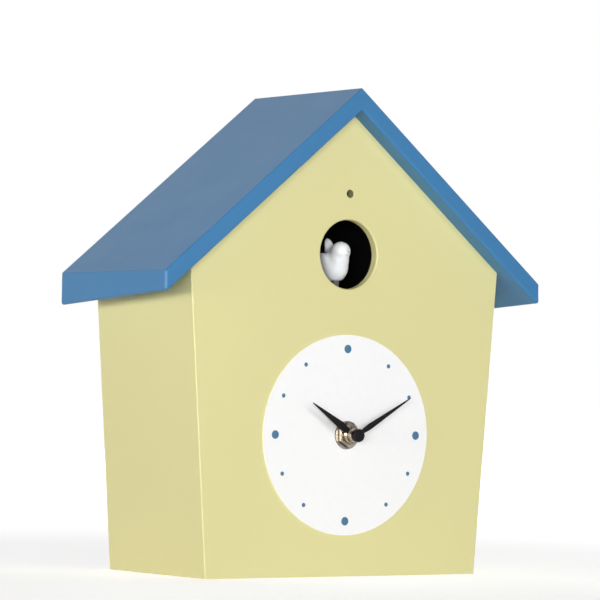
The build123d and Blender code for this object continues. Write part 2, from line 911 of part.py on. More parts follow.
with BuildPart() as minute_wheel:
    with BuildSketch(facing(minute_wheel_y)):
        with Locations(minute_wheel_at):
            add(gear_sketch(minute_wheel_teeth, motion_module, minute_wheel_tooth))
    extrude(amount=-minute_wheel_thickness)
    with BuildSketch(facing(minute_wheel_y)):
        with Locations(minute_wheel_at):
            add(gear_sketch(minute_pinion_teeth, hour_module, minute_pinion_tooth))
    extrude(amount=minute_wheel_y - hour_wheel_y)
    with BuildSketch(facing(minute_wheel_y + minute_wheel_thickness)):
        with Locations(minute_wheel_at):
            Circle(wheel_post_radius + running_clearance)
    extrude(amount=minute_wheel_y + minute_wheel_thickness - hour_wheel_y, mode=Mode.SUBTRACT)
keep(minute_wheel, "minute_wheel")

hour_pipe_end_y = dial_face_y - hour_pipe_reach
with BuildPart() as hour_wheel:
    with BuildSketch(facing(hour_wheel_y)):
        with Locations((0, dial_height)):
            add(gear_sketch(hour_wheel_teeth, hour_module, hour_wheel_tooth))
    extrude(amount=-hour_wheel_thickness)
    with BuildSketch(facing(hour_wheel_y)):
        with Locations((0, dial_height)):
            Circle(hour_pipe_radius)
    extrude(amount=hour_wheel_y - hour_pipe_end_y)
    with BuildSketch(facing(hour_wheel_y + hour_wheel_thickness)):
        with Locations((0, dial_height)):
            Circle(arbor_radius + running_clearance)
    extrude(amount=hour_wheel_y + hour_wheel_thickness - hour_pipe_end_y, mode=Mode.SUBTRACT)
keep(hour_wheel, "hour_wheel")

knob_front_y = movement_back_y + knob_gap
stem_front_y = chamber_y + stem_boss_length - stem_seat_depth + running_clearance
with BuildPart() as setting_stem:
    with BuildSketch(facing(stem_front_y)):
        with Locations(stem_at):
            Circle(stem_radius)
    extrude(amount=stem_front_y - knob_front_y - knob_length)
    with BuildSketch(facing(cannon_y)):
        with Locations(stem_at):
            add(gear_sketch(setting_teeth, motion_module, setting_tooth))
    extrude(amount=-cannon_length)
keep(setting_stem, "setting_stem")

with BuildPart() as setting_knob:
    with BuildSketch(facing(knob_front_y)):
        with Locations(stem_at):
            Circle(knob_radius)
            with PolarLocations(knob_radius, knob_flutes):
                Circle(knob_flute_radius, mode=Mode.SUBTRACT)
            Circle(stem_radius, mode=Mode.SUBTRACT)
    extrude(amount=-knob_length)
keep(setting_knob, "setting_knob")

# Hands and the cap nut
hour_seat_y = dial_face_y - hour_hand_reach
hour_hand = build_hand(
    hour_seat_y, hour_hand_length, hour_hand_width, hour_hand_angle,
    hour_pipe_radius, hour_ring_radius, hand_thickness,
)
keep(hour_hand, "hour_hand")

# Collar that holds the hour hand on its pipe
hour_collar_y = hour_seat_y - hand_thickness
with BuildPart() as hour_collar:
    with BuildSketch(facing(hour_collar_y)):
        with Locations((0, dial_height)):
            Circle(hour_collar_radius)
            Circle(hour_pipe_radius, mode=Mode.SUBTRACT)
    extrude(amount=hour_collar_y - hour_pipe_end_y)
keep(hour_collar, "hour_collar")

minute_hand = build_hand(
    minute_seat_y, minute_hand_length, minute_hand_width, minute_hand_angle,
    arbor_seat_radius, minute_hub_radius, minute_hub_height,
)
keep(minute_hand, "minute_hand")

cap_back_y = minute_seat_y - minute_hub_height
with BuildPart() as cap_nut:
    with BuildSketch(facing(cap_back_y)):
        with Locations((0, dial_height)):
            Circle(cap_radius)
    extrude(amount=cap_length)
    fillet(cap_nut.faces().sort_by(Axis.Y)[0].edges(), cap_round)
    with BuildSketch(facing(cap_back_y)):
        with Locations((0, dial_height)):
            Circle(arbor_thread_radius)
    extrude(amount=cap_bore_depth, mode=Mode.SUBTRACT)
keep(cap_nut, "cap_nut")

# Coil unit, circuit board, cell and contacts of the hand movement
coil_outer = inner_size / 2 - coil_edge
coil_length = coil_outer - coil_inner
coil_at = (-(coil_outer + coil_inner) / 2, chamber_top - coil_top - coil_flange / 2)
coil_axis_y = chamber_y + coil_flange / 2
with BuildPart() as movement_coil:
    with BuildSketch(seen_from_right(coil_at[0] - coil_length / 2)):
        with Locations((coil_axis_y, coil_at[1])):
            Circle(coil_radius)
    extrude(amount=coil_length)
    for flange_x in (coil_at[0] - coil_length / 2, coil_at[0] + coil_length / 2 - coil_flange_thickness):
        with BuildSketch(seen_from_right(flange_x)):
            with Locations((coil_axis_y, coil_at[1])):
                Rectangle(coil_flange, coil_flange)
        extrude(amount=coil_flange_thickness)
keep(movement_coil, "movement_coil")

movement_board_outer = inner_size / 2 - movement_board_edge
movement_board_width = movement_board_outer - movement_board_inner
movement_board_at = (-(movement_board_outer + movement_board_inner) / 2, dial_height + movement_board_rise)
with BuildPart() as movement_board:
    with BuildSketch(facing(chamber_y)):
        with Locations(movement_board_at):
            Rectangle(movement_board_width, movement_board_height)
    extrude(amount=-board_thickness)
    with BuildSketch(facing(chamber_y + board_thickness)):
        with Locations(movement_board_at):
            Circle(chip_radius)
    extrude(amount=-chip_height)
    fillet(movement_board.faces().sort_by(Axis.Y)[-1].edges(), chip_height / 2)
keep(movement_board, "movement_board")

clock_cell_y = chamber_y + cell_clearance + cell_radius
clock_cell = build_cell((0, clock_cell_y, bay_middle[1]), 1)
keep(clock_cell, "clock_cell")
clock_cell_contacts = build_contacts((0, cell_length / 2 + contact_bow), [(clock_cell_y, bay_middle[1])])
keep(clock_cell_contacts, "clock_cell_contacts")

# Shroud around the bird's way, with the flange that fastens the bird drive to the panel
flange_back_y = panel_back_y + flange_thickness
tunnel_outer = tunnel_inner + 2 * tunnel_wall
tunnel_foot = hole_height - tunnel_outer / 2
flange_height = flange_below + flange_above
flange_middle = hole_height + (flange_above - flange_below) / 2
carriage_front_y = flange_back_y + carriage_front_room + bird_travel
post_front_y = carriage_front_y + post_setback
post_back_y = post_front_y + post_length
slot_front_y = post_front_y - bird_travel - slide_clearance
slot_back_y = post_back_y + slide_clearance
with BuildPart() as bird_shroud:
    with BuildSketch(facing(panel_back_y)):
        with Locations((0, flange_middle)):
            RectangleRounded(flange_width, flange_height, flange_corner)
    extrude(amount=-flange_thickness)
    with BuildSketch(facing(flange_back_y)):
        with Locations((0, hole_height)):
            RectangleRounded(tunnel_outer, tunnel_outer, tunnel_corner + tunnel_wall)
    extrude(amount=-tunnel_length)
    with BuildSketch(facing(flange_back_y)):
        with Locations((0, hole_height)):
            RectangleRounded(tunnel_inner, tunnel_inner, tunnel_corner)
    extrude(amount=tunnel_wall - tunnel_length, mode=Mode.SUBTRACT)
    with BuildSketch(facing(panel_back_y)):
        with Locations((0, hole_height)):
            Circle(hole_radius)
        with Locations((0, sensor_height)):
            Circle(sensor_radius + sensor_seat_gap)
        with Locations((0, flange_middle)):
            with GridLocations(flange_width - 2 * flange_corner, flange_height - 2 * flange_corner, 2, 2):
                Circle(screw_radius)
    extrude(amount=-flange_thickness, mode=Mode.SUBTRACT)
    with BuildSketch(Plane.XY.offset(tunnel_foot)):
        with Locations((0, (slot_front_y + slot_back_y) / 2)):
            Rectangle(slot_width, slot_back_y - slot_front_y)
    extrude(amount=tunnel_wall, mode=Mode.SUBTRACT)
keep(bird_shroud, "bird_shroud")

# Carriage with its rack, tongues, post and arm
carriage_top = tunnel_foot - carriage_head_room
carriage_foot = carriage_top - carriage_height
rack_pitch = pi * rack_module
pinion_radius = rack_module * rack_pinion_teeth / 2
pinion_y = carriage_front_y + rack_lead
rack_line = carriage_foot - tooth_dedendum * rack_module
pinion_z = rack_line - pinion_radius
rack_teeth = int(bird_travel // rack_pitch) + rack_spare_teeth
rack_end_y = pinion_y + (rack_teeth - 1) * rack_pitch
carriage_back_y = rack_end_y + carriage_past_rack
arm_top = hole_height - arm_drop
arm_foot = arm_top - arm_height
bird_y = front_y + bird_depth
arm_front_y = bird_y - arm_past_bird
tooth_lean = tan(radians(tooth_slant)) * rack_module
half_tooth = rack_pitch * tooth_share / 2
with BuildPart() as bird_carriage:
    with BuildSketch(seen_from_right(-carriage_width / 2)):
        Polygon(
            (carriage_front_y, carriage_foot),
            (carriage_back_y, carriage_foot),
            (carriage_back_y, carriage_top),
            (carriage_front_y, carriage_top),
            align=None,
        )
    extrude(amount=carriage_width)
    tongue_top = carriage_top - tongue_drop
    with BuildSketch(seen_from_right(-carriage_width / 2 - tongue_width + slide_clearance)):
        Polygon(
            (carriage_front_y, tongue_top - tongue_height),
            (carriage_back_y, tongue_top - tongue_height),
            (carriage_back_y, tongue_top),
            (carriage_front_y, tongue_top),
            align=None,
        )
    extrude(amount=carriage_width + 2 * (tongue_width - slide_clearance))
    with BuildSketch(seen_from_right(-rack_width / 2)):
        for tooth in range(rack_teeth):
            middle_y = pinion_y + (tooth - 0.5) * rack_pitch
            root_half = half_tooth + tooth_dedendum * tooth_lean
            tip_half = half_tooth - tooth_addendum * tooth_lean
            tip_z = rack_line - tooth_addendum * rack_module
            Polygon(
                (middle_y - root_half, carriage_foot),
                (middle_y - tip_half, tip_z),
                (middle_y + tip_half, tip_z),
                (middle_y + root_half, carriage_foot),
                align=None,
            )
    extrude(amount=rack_width)
    with BuildSketch(seen_from_right(-arm_width / 2)):
        Polygon(
            (post_front_y, carriage_top),
            (post_back_y, carriage_top),
            (post_back_y, arm_top),
            (arm_front_y, arm_top),
            (arm_front_y, arm_foot),
            (post_front_y, arm_foot),
            align=None,
        )
    extrude(amount=arm_width)
keep(bird_carriage, "bird_carriage")

# Bird: body, breast, head, back, raised tail, folded wings and beak
# Each form: its middle counted from the bird's place, its half sizes and its tilt about X
bird_forms = [
    ((0, 1.5, -5.5), (6.6, 8.0, 8.5), 0),
    ((0, -2.5, -2.5), (5.2, 4.8, 7.0), 0),
    ((0, -4.0, 1.7), (4.9, 4.9, 4.9), 0),
    ((0, 2.5, 0.0), (3.4, 4.0, 4.0), 0),
    ((0, 5.2, 2.0), (3.0, 2.2, 7.4), -25),
    ((-5.6, 3.6, -3.2), (1.7, 5.4, 4.2), 15),
    ((5.6, 3.6, -3.2), (1.7, 5.4, 4.2), 15),
]
beak_root = (0, -8.0, 1.2)
beak_tip = (0, -10.8, 0.3)
beak_root_radius = 1.5
beak_tip_radius = 0.3


def from_bird(place):
    """Place counted from the bird's middle, in the clock's frame."""
    return Vector(place[0], bird_y + place[1], hole_height + place[2])


with BuildPart() as ball:
    Sphere(1)

with BuildPart() as bird:
    for place, half_sizes, tilt in bird_forms:
        with Locations(Location(from_bird(place), (tilt, 0, 0))):
            add(scale(ball.part, by=half_sizes, mode=Mode.PRIVATE))
    beak_line = from_bird(beak_tip) - from_bird(beak_root)
    with BuildSketch(Plane(origin=from_bird(beak_root), z_dir=beak_line)):
        Circle(beak_root_radius)
    with BuildSketch(Plane(origin=from_bird(beak_tip), z_dir=beak_line)):
        Circle(beak_tip_radius)
    loft()
    split(bisect_by=Plane.XY.offset(arm_top), keep=Keep.TOP)
keep(bird, "bird")

# Gears of the bird drive
drive_distance = drive_module * (drive_wheel_teeth + drive_pinion_teeth) / 2
drive_at = (pinion_y, pinion_z)
idler_at = (pinion_y + drive_distance, pinion_z)
motor_at = (idler_at[0], idler_at[1] - drive_distance)
cheek_inner = carriage_width / 2 + slide_clearance
cheek_outer = cheek_inner + cheek_thickness
first_gear_x = cheek_outer + wheel_side_gap
second_gear_x = first_gear_x + drive_wheel_thickness + wheel_side_gap
rack_pinion_tooth = 90.0
drive_wheel_tooth = 0.0
idler_pinion_tooth = meshed_tooth(180.0, drive_pinion_teeth, drive_wheel_teeth, drive_wheel_tooth)
idler_wheel_tooth = 270.0
motor_pinion_tooth = meshed_tooth(90.0, drive_pinion_teeth, drive_wheel_teeth, idler_wheel_tooth)

with BuildPart() as drive_gear:
    with BuildSketch(seen_from_right(-cheek_outer - axle_past)):
        with Locations(drive_at):
            Circle(drive_axle_radius)
    extrude(amount=cheek_outer + axle_past + first_gear_x + drive_wheel_thickness)
    with BuildSketch(seen_from_right(-rack_width / 2)):
        with Locations(drive_at):
            add(gear_sketch(rack_pinion_teeth, rack_module, rack_pinion_tooth))
    extrude(amount=rack_width)
    with BuildSketch(seen_from_right(first_gear_x)):
        with Locations(drive_at):
            add(gear_sketch(drive_wheel_teeth, drive_module, drive_wheel_tooth))
    extrude(amount=drive_wheel_thickness)
keep(drive_gear, "drive_gear")

with BuildPart() as idler_gear:
    with BuildSketch(seen_from_right(-cheek_outer - axle_past)):
        with Locations(idler_at):
            Circle(idler_axle_radius)
    extrude(amount=cheek_outer + axle_past + second_gear_x + drive_wheel_thickness)
    with BuildSketch(seen_from_right(first_gear_x)):
        with Locations(idler_at):
            add(gear_sketch(drive_pinion_teeth, drive_module, idler_pinion_tooth))
    extrude(amount=second_gear_x - first_gear_x)
    with BuildSketch(seen_from_right(second_gear_x)):
        with Locations(idler_at):
            add(gear_sketch(drive_wheel_teeth, drive_module, idler_wheel_tooth))
    extrude(amount=drive_wheel_thickness)
keep(idler_gear, "idler_gear")

with BuildPart() as motor_pinion:
    with BuildSketch(seen_from_right(cheek_inner - motor_shaft_depth + axle_past)):
        with Locations(motor_at):
            Circle(motor_shaft_radius)
    extrude(amount=second_gear_x + drive_wheel_thickness - cheek_inner + motor_shaft_depth)
    with BuildSketch(seen_from_right(second_gear_x)):
        with Locations(motor_at):
            add(gear_sketch(drive_pinion_teeth, drive_module, motor_pinion_tooth))
    extrude(amount=drive_wheel_thickness)
keep(motor_pinion, "motor_pinion")

# Drive bed: two cheeks with the carriage's grooves, bearings and the motor's seat
bed_back_y = flange_back_y + bed_length
bed_outline = [
    (flange_back_y, tunnel_foot),
    (flange_back_y, tunnel_foot - bed_front_drop),
    (flange_back_y + bed_front_run, tunnel_foot - bed_front_drop),
    (flange_back_y + bed_deep_start, tunnel_foot - bed_deep_drop),
    (flange_back_y + bed_deep_end, tunnel_foot - bed_deep_drop),
    (bed_back_y, tunnel_foot - bed_tail_drop),
    (bed_back_y, tunnel_foot),
]
groove_top = tongue_top + slide_clearance
groove_foot = tongue_top - tongue_height - slide_clearance
with BuildPart() as drive_bed:
    for cheek_x in (-cheek_outer, cheek_inner):
        with BuildSketch(seen_from_right(cheek_x)) as cheek_sketch:
            Polygon(*bed_outline, align=None)
            lower_corners = cheek_sketch.vertices().filter_by(lambda corner: corner.Z < tunnel_foot - tiny)
            fillet(lower_corners, bed_round)
        extrude(amount=cheek_thickness)
    with BuildSketch(seen_from_right(-cheek_inner)):
        Polygon(
            (flange_back_y, tunnel_foot - bed_front_drop),
            (flange_back_y + bed_web, tunnel_foot - bed_front_drop),
            (flange_back_y + bed_web, rack_line - pinion_radius / 2),
            (flange_back_y, rack_line - pinion_radius / 2),
            align=None,
        )
        Polygon(
            (bed_back_y - bed_web, tunnel_foot - bed_front_drop),
            (bed_back_y, tunnel_foot - bed_front_drop),
            (bed_back_y, tunnel_foot),
            (bed_back_y - bed_web, tunnel_foot),
            align=None,
        )
    extrude(amount=2 * cheek_inner)
    with BuildSketch(seen_from_right(-cheek_inner - tongue_width)):
        Polygon(
            (flange_back_y, groove_foot),
            (bed_back_y - bed_web, groove_foot),
            (bed_back_y - bed_web, groove_top),
            (flange_back_y, groove_top),
            align=None,
        )
    extrude(amount=2 * (cheek_inner + tongue_width), mode=Mode.SUBTRACT)
    with BuildSketch(seen_from_right(-cheek_outer)):
        with Locations(drive_at):
            Circle(drive_axle_radius + running_clearance)
        with Locations(idler_at):
            Circle(idler_axle_radius + running_clearance)
    extrude(amount=2 * cheek_outer, mode=Mode.SUBTRACT)
    with BuildSketch(seen_from_right(-cheek_outer)):
        with Locations(motor_at):
            Circle(motor_radius)
            Rectangle(2 * motor_radius, motor_flats, mode=Mode.INTERSECT)
    extrude(amount=cheek_thickness, mode=Mode.SUBTRACT)
    with BuildSketch(seen_from_right(cheek_inner)):
        with Locations(motor_at):
            Circle(motor_boss_radius)
    extrude(amount=cheek_thickness, mode=Mode.SUBTRACT)
keep(drive_bed, "drive_bed")

with BuildPart() as drive_motor:
    with BuildSketch(seen_from_right(cheek_inner - motor_length)):
        with Locations(motor_at):
            Circle(motor_radius)
            Rectangle(2 * motor_radius, motor_flats, mode=Mode.INTERSECT)
    extrude(amount=motor_length)
    with BuildSketch(seen_from_right(cheek_inner)):
        with Locations(motor_at):
            Circle(motor_boss_radius)
    extrude(amount=motor_boss_length)
    with BuildSketch(seen_from_right(cheek_inner - motor_length - motor_tail_length)):
        with Locations(motor_at):
            Circle(motor_tail_radius)
    extrude(amount=motor_tail_length)
    with BuildSketch(seen_from_right(cheek_inner + motor_boss_length)):
        with Locations(motor_at):
            Circle(motor_shaft_radius + running_clearance)
    extrude(amount=-motor_boss_length - motor_shaft_depth, mode=Mode.SUBTRACT)
keep(drive_motor, "drive_motor")

# Light sensor and its board
with BuildPart() as light_sensor:
    with BuildSketch(facing(flange_back_y)):
        with Locations((0, sensor_height)):
            Circle(sensor_radius)
    extrude(amount=flange_thickness)
    fillet(light_sensor.faces().sort_by(Axis.Y)[0].edges(), sensor_dome)
keep(light_sensor, "light_sensor")

with BuildPart() as sensor_board:
    with BuildSketch(facing(flange_back_y)):
        with Locations((0, sensor_height)):
            Rectangle(sensor_board_width, sensor_board_height)
    extrude(amount=-board_thickness)
keep(sensor_board, "sensor_board")

# Main board with its switch, volume control and test switch
with BuildPart() as main_board:
    with BuildSketch(facing(main_board_y)):
        with Locations((0, control_height)):
            RectangleRounded(main_board_width, main_board_height, main_board_corner)
    extrude(amount=board_thickness)
keep(main_board, "main_board")

slider_back_y = cover_back_y + control_proud
foot_half = slider_length / 2 + slider_foot
switch_cavity = 2 * (foot_half + switch_travel + slider_gap)
switch_cavity_width = slider_width + 2 * slider_foot + 2 * slider_gap
switch_top_y = main_board_y + switch_height
with BuildPart() as mode_switch:
    with BuildSketch(facing(main_board_y)):
        with Locations(control_places["switch"]):
            Rectangle(switch_cavity + 2 * switch_wall, switch_cavity_width + 2 * switch_wall)
    extrude(amount=-switch_height)
    with BuildSketch(facing(main_board_y + switch_floor)):
        with Locations(control_places["switch"]):
            Rectangle(switch_cavity, switch_cavity_width)
    extrude(amount=switch_floor + switch_wall - switch_height, mode=Mode.SUBTRACT)
    with BuildSketch(facing(switch_top_y)):
        with Locations(control_places["switch"]):
            Rectangle(slider_length + 2 * switch_travel + 2 * slider_gap, slider_width + 2 * slider_gap)
    extrude(amount=switch_wall, mode=Mode.SUBTRACT)
keep(mode_switch, "mode_switch")

foot_front_y = main_board_y + switch_floor + slider_gap
with BuildPart() as mode_slider:
    with BuildSketch(facing(foot_front_y)):
        with Locations(control_places["switch"]):
            Rectangle(2 * foot_half, slider_width + 2 * slider_foot)
    extrude(amount=-slider_foot)
    with BuildSketch(facing(foot_front_y)):
        with Locations(control_places["switch"]):
            Rectangle(slider_length, slider_width)
    extrude(amount=foot_front_y - slider_back_y)
keep(mode_slider, "mode_slider")

volume_top_y = main_board_y + volume_body_height
volume_knob_y = volume_top_y + volume_knob_gap
with BuildPart() as volume_control:
    with BuildSketch(facing(main_board_y)):
        with Locations(control_places["volume"]):
            Rectangle(volume_body_size, volume_body_size)
    extrude(amount=-volume_body_height)
    with BuildSketch(facing(volume_top_y)):
        with Locations(control_places["volume"]):
            Circle(volume_shaft_radius + running_clearance)
    extrude(amount=volume_body_height - switch_wall, mode=Mode.SUBTRACT)
keep(volume_control, "volume_control")

with BuildPart() as volume_knob:
    with BuildSketch(facing(main_board_y + switch_wall + running_clearance)):
        with Locations(control_places["volume"]):
            Circle(volume_shaft_radius)
    extrude(amount=main_board_y + switch_wall + running_clearance - volume_knob_y)
    with BuildSketch(facing(volume_knob_y)):
        with Locations(control_places["volume"]):
            Circle(volume_knob_radius)
            with PolarLocations(volume_knob_radius, volume_flutes):
                Circle(volume_knob_gap, mode=Mode.SUBTRACT)
    extrude(amount=volume_knob_y - slider_back_y)
    with BuildSketch(facing(slider_back_y)):
        with Locations(control_places["volume"]):
            Rectangle(2 * volume_knob_radius, volume_slot_width)
    extrude(amount=volume_slot_depth, mode=Mode.SUBTRACT)
keep(volume_knob, "volume_knob")

button_top_y = main_board_y + button_body_height
button_cap_y = button_top_y + button_travel + button_gap
plunger_front_y = main_board_y + switch_floor + button_travel
with BuildPart() as test_switch:
    with BuildSketch(facing(main_board_y)):
        with Locations(control_places["button"]):
            Rectangle(button_body_size, button_body_size)
    extrude(amount=-button_body_height)
    with BuildSketch(facing(button_top_y)):
        with Locations(control_places["button"]):
            Circle(button_plunger_radius + running_clearance)
    extrude(amount=button_body_height - switch_floor + running_clearance, mode=Mode.SUBTRACT)
keep(test_switch, "test_switch")

with BuildPart() as test_button:
    with BuildSketch(facing(plunger_front_y)):
        with Locations(control_places["button"]):
            Circle(button_plunger_radius)
    extrude(amount=plunger_front_y - button_cap_y)
    with BuildSketch(facing(button_cap_y)):
        with Locations(control_places["button"]):
            Circle(button_radius)
    extrude(amount=button_cap_y - cover_back_y - button_proud)
    fillet(test_button.faces().sort_by(Axis.Y)[-1].edges(), button_gap)
keep(test_button, "test_button")

# Speaker
speaker_axis = Axis((speaker_offset[0], 0, speaker_offset[1]), (0, 1, 0))
speaker_plane = Plane(origin=(speaker_offset[0], 0, speaker_offset[1]), x_dir=(1, 0, 0), z_dir=(0, 0, 1))
flange_front_y = cover_front_y - speaker_flange_thickness
basket_front_y = flange_front_y - speaker_basket_depth
basket_rim = speaker_radius - speaker_flange
with BuildPart() as speaker_frame:
    with BuildSketch(speaker_plane):
        Polygon(
            (basket_rim, cover_front_y),
            (speaker_radius, cover_front_y),
            (speaker_radius, flange_front_y),
            (basket_rim + speaker_wall, flange_front_y),
            (speaker_basket_radius, basket_front_y),
            (cone_inner_radius, basket_front_y),
            (cone_inner_radius, basket_front_y + speaker_wall),
            (speaker_basket_radius - speaker_wall, basket_front_y + speaker_wall),
            (basket_rim, flange_front_y),
            align=None,
        )
    revolve(axis=speaker_axis)
    with BuildSketch(facing(basket_front_y + speaker_wall)):
        with Locations(speaker_offset):
            with PolarLocations((basket_rim + speaker_basket_radius) / 2, basket_windows):
                Circle(basket_window_radius)
    extrude(amount=speaker_wall - speaker_basket_depth, mode=Mode.SUBTRACT)
keep(speaker_frame, "speaker_frame")

with BuildPart() as speaker_magnet:
    with BuildSketch(facing(basket_front_y)):
        with Locations(speaker_offset):
            Circle(magnet_radius)
    extrude(amount=magnet_thickness)
    with BuildSketch(facing(basket_front_y)):
        with Locations(speaker_offset):
            Circle(cone_inner_radius - speaker_wall)
    extrude(amount=-speaker_wall)
keep(speaker_magnet, "speaker_magnet")

with BuildPart() as speaker_cone:
    with BuildSketch(speaker_plane):
        Polygon(
            (0, flange_front_y - cone_depth),
            (cone_inner_radius, flange_front_y - cone_depth),
            (cone_radius, flange_front_y),
            (basket_rim, flange_front_y),
            (basket_rim, flange_front_y + cone_thickness),
            (cone_radius, flange_front_y + cone_thickness),
            (cone_inner_radius, flange_front_y - cone_depth + cone_thickness),
            (0, flange_front_y - cone_depth + cone_thickness),
            align=None,
        )
    revolve(axis=speaker_axis)
keep(speaker_cone, "speaker_cone")

# Battery box, cells, contacts and the sliding door
box_front_y = cover_front_y - box_depth
with BuildPart() as battery_box:
    with BuildSketch(facing(box_front_y)):
        with Locations(box_offset):
            Rectangle(box_length, box_height)
    extrude(amount=-box_depth)
    with BuildSketch(facing(box_front_y + box_wall)):
        with Locations(box_offset):
            Rectangle(cell_span, box_inner_height)
    extrude(amount=box_wall - box_depth, mode=Mode.SUBTRACT)
    with BuildSketch(facing(box_front_y + box_wall)):
        with Locations(box_offset):
            Rectangle(cell_length / 2, cell_clearance * 2)
    extrude(amount=-box_rib)
keep(battery_box, "battery_box")

cell_y = box_front_y + box_wall + cell_clearance + cell_radius
cell_rise = cell_radius + cell_clearance
for name, side in (("upper_cell", 1), ("lower_cell", -1)):
    box_cell = build_cell((box_offset[0], cell_y, box_offset[1] + side * cell_rise), side)
    keep(box_cell, name)
battery_contacts = build_contacts(
    (box_offset[0], cell_span / 2), [(cell_y, box_offset[1] + side * cell_rise) for side in (-1, 1)]
)
keep(battery_contacts, "battery_contacts")

with BuildPart() as battery_door:
    with BuildSketch(facing(door_back_y)):
        with Locations(box_offset):
            Rectangle(door_length, door_height)
    extrude(amount=-door_thickness)
    with BuildSketch(facing(door_back_y + door_thickness)):
        with Locations((box_offset[0] - door_length / 4, box_offset[1])):
            with GridLocations(door_rib_pitch, 0, door_ribs, 1):
                Rectangle(door_rib_width, door_height / 2)
    extrude(amount=-door_rib_height)
keep(battery_door, "battery_door")
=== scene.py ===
import math

import bmesh
import bpy
from bpy.props import FloatProperty, FloatVectorProperty, IntProperty, PointerProperty
from mathutils import Matrix, Vector


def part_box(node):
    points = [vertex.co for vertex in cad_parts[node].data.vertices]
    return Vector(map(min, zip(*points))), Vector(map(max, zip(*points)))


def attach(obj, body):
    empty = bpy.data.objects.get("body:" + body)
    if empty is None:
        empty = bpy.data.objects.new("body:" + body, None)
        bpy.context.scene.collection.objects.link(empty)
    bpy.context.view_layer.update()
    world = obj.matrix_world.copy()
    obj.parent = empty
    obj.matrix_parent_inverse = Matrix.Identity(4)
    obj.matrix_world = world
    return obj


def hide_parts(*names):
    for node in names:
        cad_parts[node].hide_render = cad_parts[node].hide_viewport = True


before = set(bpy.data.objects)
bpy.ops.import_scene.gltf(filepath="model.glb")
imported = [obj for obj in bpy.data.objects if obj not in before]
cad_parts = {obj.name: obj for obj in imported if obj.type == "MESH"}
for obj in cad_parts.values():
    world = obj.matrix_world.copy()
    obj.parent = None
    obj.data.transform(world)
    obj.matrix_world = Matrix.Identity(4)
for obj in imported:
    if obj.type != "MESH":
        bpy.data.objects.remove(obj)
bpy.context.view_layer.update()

bl_info = {
    "name": "Gabled Cuckoo Clock",
    "version": (1, 0, 0),
    "blender": (4, 5, 0),
    "location": "View3D > Sidebar > Clock",
    "description": "Finishes and small details of a house-shaped cuckoo clock, "
                   "built around its solid model",
    "category": "Object",
}

MM = 0.001
FULL_TURN = 2 * math.pi

# Textures: the range that noise mostly keeps to, and the cosine that tells which way a face looks
NOISE_LOW, NOISE_HIGH = 0.3, 0.7
FACING_COSINE = 0.9

# Painted shade in metal's creases: how fast it darkens, and the shares of red, green and blue left
# in it
CREASE_SAMPLES = 8
CREASE_POWER = 2.5
CREASE_SHADE_SHARES = (0.2, 0.18, 0.155)

# Sockets of a Mix node that carry colours
MIX_FIRST, MIX_SECOND, MIX_RESULT = 6, 7, 2

# Dry cells: share of the length that the plain band takes
BAND_SHARE = 0.3

# Dial dots: sides, and where their edge starts to lean in and ends, as shares of height and radius
MARK_STEPS = 32
MARK_EDGE = 0.6
MARK_TOP = 0.94

# Bush: its thread is 8 mm across where its washer is 14 mm, and its crests are flat on top
BUSH_TO_WASHER = 8 / 14
BUSH_WALL = 1.45 * MM
SHOULDER_DEPTH = 0.6 * MM
BORE_CHAMFER = 0.2 * MM
THREAD_RUNOUT = 0.25 * MM
THREAD_STEEPNESS = 1.5
THREAD_ROWS = 10

# Screws: shank, head in millimetres as pairs of radius and height above its seat, how far a head's
# points lie apart at most, how deep its crown is, and the recess's floor as a share of its rim
SCREW_STEPS = 48
SHANK_RADIUS = 1.5 * MM
PAN_HEAD = ((3.0, 0.0), (3.0, 0.55), (2.88, 0.9), (2.6, 1.18), (2.2, 1.34), (1.9, 1.4))
HEAD_HEIGHT = PAN_HEAD[-1][1] * MM
HEAD_REACH = 10.0 * MM
CROWN_DEPTH = 0.05 * MM
RECESS_TAPER = 0.55

# Stage: what the lamps aim at, half the floor, the places between which the light of floor, sky and
# room changes, and how far the camera sees
LAMP_TARGET = Vector((0.0, 0.0, 0.13))
FLOOR_REACH = 12.0
FLOOR_FADE = (0.3, 1.0)
HORIZON_BAND = (0.0, 0.2)
ROOM_EDGE = (-0.3, 0.2)
VIEW_END = 50.0


def middle(node):
    """Middle of a node's box."""
    low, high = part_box(node)
    return (low + high) / 2


def scaled(colour, share):
    """A colour with each channel times a share, no brighter than white."""
    return [min(1.0, channel * share) for channel in colour]


# Properties


def colour_property(name, description, default):
    """A colour that a user would change."""
    return FloatVectorProperty(
        name=name, description=description, subtype="COLOR", size=3, min=0.0, max=1.0,
        default=default,
    )


def length_property(name, description, default):
    """A length that a user would change, in metres."""
    return FloatProperty(
        name=name, description=description, unit="LENGTH", min=0.0, precision=5, default=default
    )


def power_property(name, description, default):
    """A lamp's power."""
    return FloatProperty(name=name, description=description, unit="POWER", min=0.0, default=default)


def share_property(name, description, default):
    """A strength, where one is white."""
    return FloatProperty(name=name, description=description, min=0.0, default=default)


def angle_property(name, description, degrees):
    """An angle that a user would change, given in degrees."""
    return FloatProperty(
        name=name, description=description, subtype="ANGLE", default=math.radians(degrees)
    )


